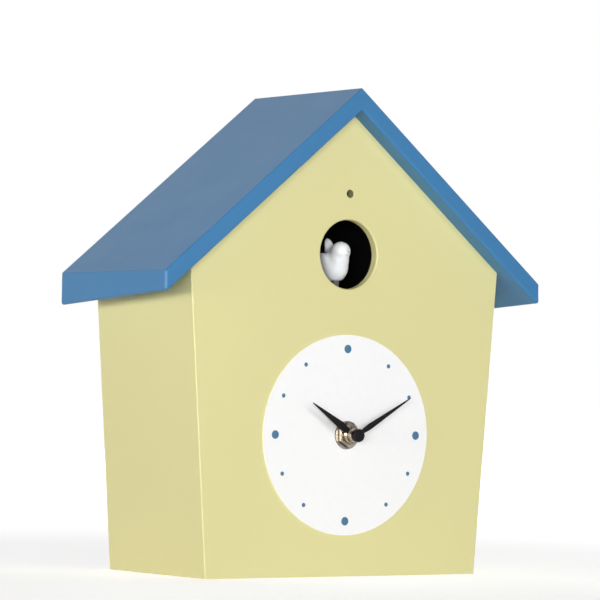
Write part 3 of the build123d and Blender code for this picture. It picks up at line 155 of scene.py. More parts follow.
class ClockColours(bpy.types.PropertyGroup):
    """Colours of the clock's finishes."""

    body_paint: colour_property("Body paint", "Walls, front and base", (0.745, 0.70, 0.345))
    roof_paint: colour_property("Roof paint", "Roof panels", (0.043, 0.198, 0.42))
    bare_board: colour_property("Bare board", "Inner faces of the boards", (0.42, 0.29, 0.17))
    block_wood: colour_property("Block wood", "Glue blocks in the corners", (0.60, 0.42, 0.23))
    cover_board: colour_property("Cover board", "Rear cover", (0.13, 0.078, 0.045))
    dial_card: colour_property("Dial card", "Ground of the dial", (0.955, 0.955, 0.96))
    mark_ink: colour_property("Mark ink", "Dots on the dial", (0.062, 0.18, 0.31))
    hand_enamel: colour_property("Hand enamel", "Hands and cap nut", (0.007, 0.006, 0.006))
    brass: colour_property("Brass", "Bush, pipe and arbor", (0.66, 0.53, 0.33))
    nickel: colour_property("Nickel", "Washer and nut", (0.42, 0.375, 0.325))
    collar_nickel: colour_property("Collar nickel", "Hour collar and eye", (0.62, 0.55, 0.49))
    zinc: colour_property("Zinc plate", "Screws, hanger and contacts", (0.55, 0.55, 0.56))
    copper: colour_property("Copper", "Coil winding", (0.72, 0.30, 0.13))
    case_black: colour_property("Case black", "Black mouldings", (0.022, 0.022, 0.024))
    # Shroud lining: black plastic made darker still, as painted shade inside the bird's opening.
    shroud_black: colour_property("Shroud black", "Lining of the bird's way", (0.003, 0.003, 0.003))
    gear_white: colour_property("Gear white", "Moulded gears", (0.80, 0.78, 0.72))
    drive_grey: colour_property("Drive grey", "Bird drive's mouldings", (0.11, 0.11, 0.115))
    bird_white: colour_property("Bird white", "Bird figure", (0.86, 0.885, 0.91))
    button_red: colour_property("Button red", "Test button", (0.45, 0.03, 0.025))
    board_green: colour_property("Board green", "Circuit boards", (0.02, 0.13, 0.05))
    cell_jacket: colour_property("Cell jacket", "Dry cells", (0.045, 0.075, 0.11))
    cell_band: colour_property("Cell band", "Band at one end of a dry cell", (0.42, 0.43, 0.44))
    # Sensor resin and track: near black as painted shade of the sensor's hole.
    sensor_resin_and_shade: colour_property("Sensor resin", "Light sensor", (0.008, 0.004, 0.003))
    sensor_track_in_shade: colour_property("Sensor track", "Track under the resin", (0.03, 0.02, 0.012))
    cone_paper: colour_property("Cone paper", "Speaker cone", (0.03, 0.03, 0.03))


class ClockSizes(bpy.types.PropertyGroup):
    """Sizes of the details added around the solid model."""

    # Radius of the painted shade on the wall of the sensor hole, where the paint is darker.
    sensor_bore: length_property("Sensor bore", "Radius of thin paint around the sensor", 0.0021)
    mark_ring: length_property("Mark ring", "Radius of the ring of dots", 0.0425)
    large_mark: length_property("Large dot", "Radius of the dots at the quarters", 0.0021)
    small_mark: length_property("Small dot", "Radius of the other dots", 0.00105)
    near_mark: angle_property("Near small dot", "From the upright to the first small dot", 36.0)
    far_mark: angle_property("Far small dot", "From the upright to the second small dot", 63.4)
    mark_height: length_property("Dot height", "How far the printed dots stand proud", 0.00006)
    thread_pitch: length_property("Thread pitch", "Pitch of the bush's thread", 0.00125)
    thread_depth: length_property("Thread depth", "Depth of the bush's thread", 0.0008)
    hand_eye: length_property("Hand eye", "Radius of the hour hand's bare eye", 0.0035)
    recess_width: length_property("Recess width", "Width of a screw's cross recess", 0.0008)
    recess_reach: length_property("Recess reach", "Half length of a screw's cross recess", 0.0018)
    recess_depth: length_property("Recess depth", "Depth of a screw's cross recess", 0.0009)
    bird_voxel: length_property("Bird voxel", "Cell size when the bird's forms are joined", 0.0004)
    bird_easing: IntProperty(
        name="Bird easing", description="Rounds of smoothing of the bird", min=0, default=36
    )
    round_steps: IntProperty(
        name="Round steps", description="Sides of the turned bush", min=12, default=64
    )


class ClockStage(bpy.types.PropertyGroup):
    """Lamps, world, floor and camera."""

    front_power: power_property("Front lamp", "Power of the soft box in front", 19.0)
    near_power: power_property("Near lamp", "Power of the soft box beside the camera", 45.0)
    left_power: power_property("Left lamp", "Power of the soft box on the left", 25.0)
    left_tint: colour_property("Left tint", "Colour of the left soft box", (1.0, 0.96, 0.89))
    right_power: power_property("Right lamp", "Power of the soft box on the right", 34.0)
    rear_power: power_property("Rear lamp", "Power of the soft box behind", 34.0)
    around: share_property("Light around", "Strength of the world at the horizon", 0.6)
    above: share_property("Light above", "Strength of the world overhead", 0.0)
    room: share_property("Room", "Strength of the room in front, as gloss shows it", 0.25)
    floor_grey: share_property("Floor grey", "How much light the floor throws back", 0.6)
    floor_lift: share_property("Floor lift", "Own light of the floor near the clock, in view", 0.69)
    lens: FloatProperty(
        name="Lens", description="Focal length in millimetres", min=1.0, default=210.0
    )
    camera_yaw: angle_property("Camera yaw", "Turn to the left of straight on", -34.682)
    camera_pitch: angle_property("Camera pitch", "Tilt upwards", 1.313)
    camera_roll: angle_property("Camera roll", "Roll about the view", 1.078)
    camera_place: FloatVectorProperty(
        name="Camera place", description="Where the camera stands", subtype="TRANSLATION", size=3,
        default=(-1.00392, -1.45249, 0.09644),
    )


# Materials


class Finish:
    """A node material under construction, with the object's own coordinates in metres."""

    def __init__(self, name, roughness=0.5, metallic=0.0, specular=0.5):
        self.material = bpy.data.materials.new(name)
        self.material.use_nodes = True
        self.tree = self.material.node_tree
        self.shader = self.tree.nodes["Principled BSDF"]
        self.shader.inputs["Roughness"].default_value = roughness
        self.shader.inputs["Metallic"].default_value = metallic
        self.shader.inputs["Specular IOR Level"].default_value = specular
        self.coordinates = self.add("ShaderNodeTexCoord").outputs["Object"]

    def add(self, kind, **settings):
        """A new node with its settings and input values."""
        node = self.tree.nodes.new(kind)
        for key, value in settings.items():
            if hasattr(node, key):
                setattr(node, key, value)
            else:
                node.inputs[key.replace("_", " ").title()].default_value = value
        return node

    def link(self, source, target):
        """Joins an output to an input."""
        self.tree.links.new(source, target)

    def noise(self, size, detail=2.0, stretch=(1.0, 1.0, 1.0)):
        """Noise of a feature size in metres, drawn out along axes where stretch is above one."""
        mapping = self.add("ShaderNodeMapping")
        mapping.inputs["Scale"].default_value = [1.0 / factor for factor in stretch]
        self.link(self.coordinates, mapping.inputs["Vector"])
        texture = self.add("ShaderNodeTexNoise", scale=1.0 / size, detail=detail)
        self.link(mapping.outputs["Vector"], texture.inputs["Vector"])
        return texture.outputs["Fac"]

    def bands(self, scale, distortion):
        """Stripes side by side along X."""
        texture = self.add("ShaderNodeTexWave", wave_type="BANDS", bands_direction="X",
                           scale=scale, distortion=distortion)
        self.link(self.coordinates, texture.inputs["Vector"])
        return texture.outputs["Fac"]

    def spread(self, source, low, high):
        """Maps a texture's middle range to low and high."""
        node = self.add("ShaderNodeMapRange", from_min=NOISE_LOW, from_max=NOISE_HIGH,
                        to_min=low, to_max=high)
        self.link(source, node.inputs["Value"])
        return node.outputs["Result"]

    def blend(self, factor, first, second):
        """Colour between two colours or colour sockets."""
        node = self.add("ShaderNodeMix", data_type="RGBA")
        for value, index in ((first, MIX_FIRST), (second, MIX_SECOND)):
            if isinstance(value, bpy.types.NodeSocket):
                self.link(value, node.inputs[index])
            else:
                node.inputs[index].default_value = (*value, 1.0)
        self.link(factor, node.inputs[0])
        return node.outputs[MIX_RESULT]

    def shades(self, colour, amount, size, detail=3.0):
        """The colour, a little lighter and darker in patches."""
        dark, light = scaled(colour, 1.0 - amount), scaled(colour, 1.0 + amount)
        return self.blend(self.spread(self.noise(size, detail), 0.0, 1.0), dark, light)

    def colour(self, socket):
        """Sets the base colour."""
        self.link(socket, self.shader.inputs["Base Color"])

    def roughness(self, low, high, size):
        """Lets the roughness wander between two values."""
        self.link(self.spread(self.noise(size), low, high), self.shader.inputs["Roughness"])

    def bump(self, height, depth):
        """Raises the surface by a texture, depth in metres."""
        node = self.add("ShaderNodeBump", strength=1.0, distance=depth)
        self.link(height, node.inputs["Height"])
        earlier = self.shader.inputs["Normal"].links
        if earlier:
            self.link(earlier[0].from_socket, node.inputs["Normal"])
        self.link(node.outputs["Normal"], self.shader.inputs["Normal"])

    def creases(self, reach):
        """Mask for painted shade: one in the open, falling fast to zero in corners narrower than
        reach.
        """
        node = self.add("ShaderNodeAmbientOcclusion", samples=CREASE_SAMPLES, distance=reach)
        return self.compare("POWER", node.outputs["AO"], CREASE_POWER)

    def facing(self, direction):
        """One on faces that look along a direction, zero elsewhere."""
        dot = self.add("ShaderNodeVectorMath", operation="DOT_PRODUCT")
        self.link(self.add("ShaderNodeNewGeometry").outputs["True Normal"], dot.inputs[0])
        dot.inputs[1].default_value = direction
        return self.compare("GREATER_THAN", dot.outputs["Value"], FACING_COSINE)

    def along(self, axis):
        """One coordinate of the surface, in metres."""
        node = self.add("ShaderNodeSeparateXYZ")
        self.link(self.coordinates, node.inputs["Vector"])
        return node.outputs[axis]

    def within(self, centre, radius):
        """One nearer than a radius to an axis along Y, zero outside it."""
        offset = self.add("ShaderNodeVectorMath", operation="SUBTRACT")
        self.link(self.coordinates, offset.inputs[0])
        offset.inputs[1].default_value = centre
        across = self.add("ShaderNodeVectorMath", operation="MULTIPLY")
        self.link(offset.outputs["Vector"], across.inputs[0])
        across.inputs[1].default_value = (1.0, 0.0, 1.0)
        length = self.add("ShaderNodeVectorMath", operation="LENGTH")
        self.link(across.outputs["Vector"], length.inputs[0])
        return self.below(length.outputs["Value"], radius)

    def below(self, source, limit):
        """One where a value is below a limit."""
        return self.compare("LESS_THAN", source, limit)

    def compare(self, operation, source, number):
        """A value set against a number by a mathematical operation."""
        node = self.add("ShaderNodeMath", operation=operation)
        node.inputs[1].default_value = number
        self.link(source, node.inputs[0])
        return node.outputs["Value"]


def painted_board(name, colour, bare, inside=None, drilled=None):
    """Satin paint on fibreboard, bare on the face that looks inside and darker in a drilled hole as
    painted shade.
    """
    finish = Finish(name, specular=0.4)
    paint = finish.shades(colour, amount=0.012, size=0.09)
    if inside is not None:
        fibres = finish.shades(bare, amount=0.18, size=0.0016, detail=4.0)
        paint = finish.blend(finish.facing(inside), paint, fibres)
    if drilled is not None:
        # Painted shade: the paint is darker on the wall of the drilled hole.
        hole_shade = scaled(colour, share=0.45)
        paint = finish.blend(finish.within(*drilled), paint, hole_shade)
    finish.colour(paint)
    finish.roughness(low=0.38, high=0.42, size=0.02)
    finish.bump(finish.noise(size=0.0011), depth=0.000012)
    finish.bump(finish.noise(size=0.009, detail=1.0), depth=0.00001)
    return finish.material


def moulded(name, colour, grain=0.0004, roughness=0.5, specular=0.5):
    """Injection-moulded plastic with a fine spark-eroded grain."""
    finish = Finish(name, specular=specular)
    finish.colour(finish.shades(colour, amount=0.06, size=0.012))
    finish.roughness(low=roughness - 0.06, high=roughness + 0.06, size=0.004)
    finish.bump(finish.noise(size=grain), depth=0.00001)
    return finish.material


def turned_metal(name, colour, roughness=0.26):
    """Bright metal with a lathe's fine rings around the hands' axis, with painted shade in its
    creases.
    """
    finish = Finish(name, metallic=1.0)
    # Painted shade: in creases the metal's colour falls to these darker shares, where shade falls.
    painted_crease_shade = [channel * share for channel, share in zip(colour, CREASE_SHADE_SHARES)]
    bright = finish.shades(colour, amount=0.08, size=0.002)
    finish.colour(finish.blend(finish.creases(reach=0.0012), painted_crease_shade, bright))
    finish.roughness(low=roughness - 0.07, high=roughness + 0.08, size=0.0012)
    rings = finish.noise(size=0.00012, detail=1.0, stretch=(40.0, 1.0, 40.0))
    finish.bump(rings, depth=0.000006)
    return finish.material


def plated_steel(name, colour):
    """Pressed steel with dull zinc plate."""
    finish = Finish(name, metallic=1.0)
    finish.colour(finish.shades(colour, amount=0.12, size=0.003))
    finish.roughness(low=0.28, high=0.46, size=0.0025)
    finish.bump(finish.noise(size=0.0003, detail=3.0), depth=0.000006)
    return finish.material


def enamel(name, colour, eye=None, metal=None):
    """Thin satin enamel on stamped metal, bare where an eye is pressed onto its collar."""
    finish = Finish(name, specular=0.15)
    coat = finish.shades(colour, amount=0.2, size=0.002)
    if eye is not None:
        bare = finish.within(*eye)
        coat = finish.blend(bare, coat, metal)
        finish.link(bare, finish.shader.inputs["Metallic"])
    finish.colour(coat)
    finish.roughness(low=0.38, high=0.52, size=0.0015)
    finish.bump(finish.noise(size=0.0005), depth=0.000006)
    return finish.material


def printed_card(name, colour):
    """Coated card with a trace of fibre."""
    finish = Finish(name, specular=0.35)
    finish.colour(finish.shades(colour, amount=0.012, size=0.004))
    finish.roughness(low=0.46, high=0.56, size=0.01)
    finish.bump(finish.noise(size=0.0006, detail=3.0), depth=0.000006)
    return finish.material


def printing_ink(name, colour):
    """Screen-printed ink, a little uneven."""
    finish = Finish(name, specular=0.4)
    finish.colour(finish.shades(colour, amount=0.05, size=0.0006))
    finish.roughness(low=0.42, high=0.55, size=0.001)
    finish.bump(finish.noise(size=0.0002), depth=0.000004)
    return finish.material


def sawn_wood(name, colour):
    """Sawn softwood with its grain along X."""
    finish = Finish(name, specular=0.25)
    rings = finish.noise(size=0.0035, detail=3.0, stretch=(14.0, 1.0, 1.0))
    late_wood = scaled(colour, share=0.68)
    finish.colour(finish.blend(finish.spread(rings, 0.0, 1.0), late_wood, colour))
    finish.roughness(low=0.62, high=0.78, size=0.002)
    saw_marks = finish.noise(size=0.0007, detail=3.0, stretch=(8.0, 1.0, 1.0))
    finish.bump(saw_marks, depth=0.00008)
    return finish.material


def hardboard(name, colour):
    """Dark pressed fibreboard with short fibres showing."""
    finish = Finish(name, specular=0.3)
    fibres = finish.noise(size=0.0012, detail=4.0, stretch=(3.0, 1.0, 1.0))
    pale = scaled(colour, share=1.9)
    finish.colour(finish.blend(finish.spread(fibres, 0.0, 1.0), colour, pale))
    finish.roughness(low=0.48, high=0.66, size=0.006)
    finish.bump(fibres, depth=0.00005)
    return finish.material


def circuit_board(name, colour):
    """Solder mask over copper tracks."""
    finish = Finish(name, specular=0.5)
    cells = finish.add("ShaderNodeTexVoronoi", feature="DISTANCE_TO_EDGE", distance="MANHATTAN",
                       scale=420.0)
    finish.link(finish.coordinates, cells.inputs["Vector"])
    tracks = finish.below(cells.outputs["Distance"], limit=0.09)
    over_copper = scaled(colour, share=2.3)
    finish.colour(finish.blend(tracks, colour, over_copper))
    finish.roughness(low=0.25, high=0.36, size=0.003)
    finish.bump(tracks, depth=0.00004)
    return finish.material


def cell_jacket(name, colour, band_colour, node):
    """Printed jacket of a dry cell with a plain band at one end."""
    low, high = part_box(node)
    finish = Finish(name, specular=0.6)
    band = finish.below(finish.along("X"), limit=low.x + BAND_SHARE * (high.x - low.x))
    finish.colour(finish.blend(band, finish.shades(colour, amount=0.1, size=0.006), band_colour))
    finish.roughness(low=0.22, high=0.32, size=0.004)
    finish.bump(finish.noise(size=0.002, stretch=(6.0, 1.0, 1.0)), depth=0.00002)
    return finish.material


def coil_winding(name, colour):
    """Enamelled wire, turn beside turn along X, with painted shade between the turns."""
    finish = Finish(name, metallic=0.8)
    turns = finish.bands(scale=900.0, distortion=0.4)
    # Painted shade: the copper is darker between the turns.
    between = scaled(colour, share=0.45)
    finish.colour(finish.blend(turns, between, colour))
    finish.roughness(low=0.28, high=0.4, size=0.001)
    finish.bump(turns, depth=0.00006)
    return finish.material


def pressed_paper(name, colour):
    """Speaker cone of pressed paper."""
    finish = Finish(name, specular=0.2)
    finish.colour(finish.shades(colour, amount=0.35, size=0.0012, detail=4.0))
    finish.roughness(low=0.7, high=0.88, size=0.002)
    finish.bump(finish.noise(size=0.0009, detail=4.0), depth=0.00006)
    return finish.material


def sensor_resin_and_shade(name, colour, track_colour):
    """Resin over the sensor's track, both darkened to near black as painted shade of the hole they
    sit in.
    """
    finish = Finish(name, specular=0.2)
    track = finish.bands(scale=360.0, distortion=1.5)
    finish.colour(finish.blend(track, colour, track_colour))
    finish.roughness(low=0.1, high=0.18, size=0.002)
    finish.bump(track, depth=0.00002)
    return finish.material


def dress(material, *nodes):
    """Gives solid-model nodes a finish."""
    for node in nodes:
        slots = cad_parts[node].data.materials
        slots.clear()
        slots.append(material)


# Meshes


def add_piece(name, mesh_work, material, body, smooth_angle=35.0):
    """Turns mesh work into a piece that rides on a body."""
    bmesh.ops.recalc_face_normals(mesh_work, faces=mesh_work.faces)
    mesh = bpy.data.meshes.new(name)
    mesh_work.to_mesh(mesh)
    mesh_work.free()
    mesh.shade_smooth()
    mesh.set_sharp_from_angle(angle=math.radians(smooth_angle))
    mesh.materials.append(material)
    piece = bpy.data.objects.new(name, mesh)
    bpy.context.scene.collection.objects.link(piece)
    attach(piece, body)
    return piece


def ring_points(centre, radius_at, y, steps):
    """Points around an axis along Y, the radius given for each angle."""
    points = []
    for step in range(steps):
        angle = FULL_TURN * step / steps
        radius = radius_at(angle)
        across, up = radius * math.sin(angle), radius * math.cos(angle)
        points.append(Vector((centre.x + across, y, centre.z + up)))
    return points


def round_rings(centre, profile, steps):
    """A ring of points for each radius and place along Y in a turned profile."""
    return [ring_points(centre, lambda _, radius=radius: radius, y, steps) for radius, y in profile]


def add_rows(mesh_work, rings):
    """Vertices for each ring of points."""
    return [[mesh_work.verts.new(point) for point in ring] for ring in rings]


def bridge(mesh_work, rows, closed=True):
    """Faces between neighbouring rings of vertices, and from the last to the first if closed."""
    last = len(rows) if closed else len(rows) - 1
    for index in range(last):
        first, second = rows[index], rows[(index + 1) % len(rows)]
        for step in range(len(first)):
            after = (step + 1) % len(first)
            mesh_work.faces.new((first[step], first[after], second[after], second[step]))


# Operators


class CLOCK_OT_paint_house(bpy.types.Operator):
    """Paint the walls, the base and the roof, and finish the bare blocks"""

    bl_idname = "clock.paint_house"
    bl_label = "Paint House"

    def execute(self, context):
        colours = context.scene.clock_colours
        bare = colours.bare_board
        insides = {
            "front_panel": (0, 1, 0),
            "left_wall": (1, 0, 0),
            "right_wall": (-1, 0, 0),
            "base_panel": (0, 0, 1),
        }
        # The wall of the sensor hole gets painted shade.
        sensor_hole = (middle("light_sensor"), context.scene.clock_sizes.sensor_bore)
        for node, inside in insides.items():
            drilled = sensor_hole if node == "front_panel" else None
            dress(painted_board(f"{node}_paint", colours.body_paint, bare, inside, drilled), node)
        roof = painted_board("roof_paint", colours.roof_paint, bare)
        dress(roof, "roof_left", "roof_right")
        dress(sawn_wood("block_wood", colours.block_wood), "lower_left_block", "lower_right_block",
              "upper_left_block", "upper_right_block", "ridge_block")
        return {"FINISHED"}


class CLOCK_OT_print_dial(bpy.types.Operator):
    """Finish the dial's card and print its dots"""

    bl_idname = "clock.print_dial"
    bl_label = "Print Dial"

    def execute(self, context):
        colours = context.scene.clock_colours
        sizes = context.scene.clock_sizes
        dress(printed_card("dial_card", colours.dial_card), "dial")
        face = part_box("dial")[0].y
        centre = middle("dial")
        spots = [(quarter * math.pi / 2, sizes.large_mark) for quarter in (0, 1, 2, -1)]
        for angle in (sizes.near_mark, sizes.far_mark):
            turns = (angle, -angle, math.pi - angle, angle - math.pi)
            spots += [(turn, sizes.small_mark) for turn in turns]
        work = bmesh.new()
        for angle, radius in spots:
            spot = centre + sizes.mark_ring * Vector((math.sin(angle), 0, math.cos(angle)))
            profile = (
                (radius, face),
                (radius, face - MARK_EDGE * sizes.mark_height),
                (MARK_TOP * radius, face - sizes.mark_height),
            )
            rows = add_rows(work, round_rings(spot, profile, MARK_STEPS))
            bridge(work, rows, closed=False)
            work.faces.new(rows[0])
            work.faces.new(rows[-1])
        ink = printing_ink("mark_ink", colours.mark_ink)
        add_piece("dial_marks", work, ink, "case")
        return {"FINISHED"}


class CLOCK_OT_turn_hub(bpy.types.Operator):
    """Cut the bush's thread and finish the metal around it"""

    bl_idname = "clock.turn_hub"
    bl_label = "Turn Hub"

    def execute(self, context):
        colours = context.scene.clock_colours
        nickel = turned_metal("hub_nickel", colours.nickel, roughness=0.3)
        dress(nickel, "bush_washer", "bush_nut")
        collar = turned_metal("collar_nickel", colours.collar_nickel, roughness=0.3)
        dress(collar, "hour_collar")
        brass = turned_metal("hub_brass", colours.brass)
        dress(brass, "hour_wheel", "minute_arbor", "motor_pinion")
        self.cut_thread(context.scene.clock_sizes, brass)
        return {"FINISHED"}

    def cut_thread(self, sizes, brass):
        """A sleeve with a shoulder inside the case and a thread from its nut to its front."""
        low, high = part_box("threaded_bush")
        nut_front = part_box("bush_nut")[0].y
        washer_low, washer_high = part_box("bush_washer")
        centre = middle("bush_washer")
        thread_radius = (washer_high.x - washer_low.x) * BUSH_TO_WASHER / 2
        bore_radius = thread_radius - BUSH_WALL
        shoulder_radius = (high.x - low.x) / 2
        shoulder_front = high.y - SHOULDER_DEPTH
        pitch, depth = sizes.thread_pitch, sizes.thread_depth
        start, end = nut_front + pitch, low.y + THREAD_RUNOUT

        def threaded(y):
            def radius_at(angle):
                phase = ((y - low.y) / pitch + angle / FULL_TURN) % 1.0
                flank = 1.0 - abs(2.0 * phase - 1.0)
                return thread_radius - depth * (1.0 - min(1.0, THREAD_STEEPNESS * flank))
            return radius_at

        inside = (
            (bore_radius, high.y),
            (shoulder_radius, high.y),
            (shoulder_radius, shoulder_front),
            (thread_radius, shoulder_front),
        )
        front = (
            (thread_radius - depth, low.y),
            (bore_radius + BORE_CHAMFER, low.y),
            (bore_radius, low.y + BORE_CHAMFER),
        )
        steps = sizes.round_steps
        rings = round_rings(centre, inside, steps)
        row_count = THREAD_ROWS * round((nut_front - low.y + pitch) / pitch)
        for row in range(row_count + 1):
            y = start + (end - start) * row / row_count
            rings.append(ring_points(centre, threaded(y), y, steps))
        rings += round_rings(centre, front, steps)
        work = bmesh.new()
        bridge(work, add_rows(work, rings))
        bush = add_piece("bush_thread", work, brass, "case", smooth_angle=50.0)
        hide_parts("threaded_bush")


class CLOCK_OT_finish_hands(bpy.types.Operator):
    """Enamel the hands and their cap nut"""

    bl_idname = "clock.finish_hands"
    bl_label = "Finish Hands"

    def execute(self, context):
        colours = context.scene.clock_colours
        dress(enamel("hand_enamel", colours.hand_enamel), "minute_hand", "cap_nut")
        eye = (middle("bush_washer"), context.scene.clock_sizes.hand_eye)
        dress(enamel("hour_enamel", colours.hand_enamel, eye, colours.collar_nickel), "hour_hand")
        return {"FINISHED"}


class CLOCK_OT_finish_bird(bpy.types.Operator):
    """Finish the bird and the drive that carries it"""

    bl_idname = "clock.finish_bird"
    bl_label = "Finish Bird"

    def execute(self, context):
        colours = context.scene.clock_colours
        white = moulded("bird_white", colours.bird_white, grain=0.0006, roughness=0.42,
                        specular=0.3)
        dress(white, "bird")
        self.model_bird(context, white)
        # Black lining, darker than black plastic as painted shade inside the bird's opening.
        lining = moulded("shroud_black", colours.shroud_black, grain=0.0006, roughness=0.75,
                         specular=0.05)
        dress(lining, "bird_shroud")
        dress(moulded("drive_grey", colours.drive_grey), "drive_bed", "bird_carriage")
        gears = moulded("gear_white", colours.gear_white, grain=0.0003)
        dress(gears, "drive_gear", "idler_gear", "minute_wheel", "setting_stem")
        dress(plated_steel("motor_can", colours.zinc), "drive_motor")
        return {"FINISHED"}

    def model_bird(self, context, white):
        """Runs the solid bird's forms into one another, as in a moulding."""
        sizes = context.scene.clock_sizes
        figure = bpy.data.objects.new("bird_figure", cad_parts["bird"].data.copy())
        context.scene.collection.objects.link(figure)
        joined = figure.modifiers.new("joined", "REMESH")
        joined.mode = "VOXEL"
        joined.voxel_size = sizes.bird_voxel
        eased = figure.modifiers.new("eased", "SMOOTH")
        eased.factor = 0.5
        eased.iterations = sizes.bird_easing
        seen = figure.evaluated_get(context.evaluated_depsgraph_get())
        moulding = bpy.data.meshes.new_from_object(seen)
        bpy.data.objects.remove(figure)
        work = bmesh.new()
        work.from_mesh(moulding)
        bpy.data.meshes.remove(moulding)
        piece = add_piece("bird_figure", work, white, "bird", smooth_angle=180.0)
        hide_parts("bird")


class CLOCK_OT_finish_works(bpy.types.Operator):
    """Finish the hand movement, the boards, the controls and the cells"""

    bl_idname = "clock.finish_works"
    bl_label = "Finish Works"

    def execute(self, context):
        colours = context.scene.clock_colours
        dress(moulded("case_black", colours.case_black), "movement_front", "movement_rear",
              "setting_knob", "mode_switch", "mode_slider", "volume_control", "volume_knob",
              "test_switch", "battery_box", "battery_door")
        dress(coil_winding("coil_winding", colours.copper), "movement_coil")
        green = circuit_board("board_green", colours.board_green)
        dress(green, "movement_board", "sensor_board", "main_board")
        dress(moulded("button_red", colours.button_red, grain=0.0003), "test_button")
        # The sensor's near-black resin and track are painted shade.
        resin = sensor_resin_and_shade("sensor_resin_and_shade", colours.sensor_resin_and_shade, colours.sensor_track_in_shade)
        dress(resin, "light_sensor")
        contacts = plated_steel("contact_plate", colours.zinc)
        dress(contacts, "clock_cell_contacts", "battery_contacts")
        for cell in ("clock_cell", "upper_cell", "lower_cell"):
            dress(cell_jacket(f"{cell}_jacket", colours.cell_jacket, colours.cell_band, cell), cell)
        return {"FINISHED"}


class CLOCK_OT_finish_rear(bpy.types.Operator):
    """Finish the rear cover, the hanger and the speaker"""

    bl_idname = "clock.finish_rear"
    bl_label = "Finish Rear"

    def execute(self, context):
        colours = context.scene.clock_colours
        dress(hardboard("cover_board", colours.cover_board), "rear_cover")
        zinc = plated_steel("zinc_plate", colours.zinc)
        dress(zinc, "hanger_plate", "cover_screws", "hanger_screws")
        for node in ("cover_screws", "hanger_screws"):
            self.cut_screws(context.scene.clock_sizes, node, zinc)
        dress(enamel("speaker_enamel", colours.case_black), "speaker_frame", "speaker_magnet")
        dress(pressed_paper("cone_paper", colours.cone_paper), "speaker_cone")
        return {"FINISHED"}

    def cut_screws(self, sizes, node, zinc):
        """Pan heads with a cross recess, on the shanks of the solid model."""
        low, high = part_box(node)
        seat = high.y - HEAD_HEIGHT
        profile = [(SHANK_RADIUS, low.y), (SHANK_RADIUS, seat)]
        profile += [(radius * MM, seat + height * MM) for radius, height in PAN_HEAD]
        work = bmesh.new()
        for centre in self.head_centres(node, high.y):
            rows = add_rows(work, round_rings(centre, profile, SCREW_STEPS))
            bridge(work, rows, closed=False)
            work.faces.new(rows[0])
            rim = self.recess_ring(centre, sizes, high.y)
            floor = self.recess_ring(centre, sizes, high.y - sizes.recess_depth, RECESS_TAPER)
            inner = add_rows(work, (rim, floor))
            bridge(work, (rows[-1], *inner), closed=False)
            work.faces.new(inner[-1])
        piece = add_piece(f"{node}_heads", work, zinc, "case", smooth_angle=40.0)
        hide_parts(node)

    def head_centres(self, node, top):
        """Middle of each head's crown in the solid model, seen along Y."""
        corners = [vertex.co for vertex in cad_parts[node].data.vertices]
        crowns = [Vector((point.x, 0, point.z)) for point in corners if point.y > top - CROWN_DEPTH]
        centres = []
        for point in crowns:
            if all((centre - point).length >= HEAD_REACH for centre in centres):
                head = [other for other in crowns if (other - point).length < HEAD_REACH]
                centres.append(sum(head, Vector((0, 0, 0))) / len(head))
        return centres

    def recess_ring(self, centre, sizes, y, share=1.0):
        """Outline of a cross, one point for each step around it."""
        half, reach = share * sizes.recess_width / 2, share * sizes.recess_reach

        def radius_at(angle):
            across, up = abs(math.sin(angle)), abs(math.cos(angle))
            long_way, short_way = max(across, up), max(min(across, up), 1e-6)
            return max(min(reach / long_way, half / short_way), half / long_way)

        return ring_points(centre, radius_at, y, SCREW_STEPS)


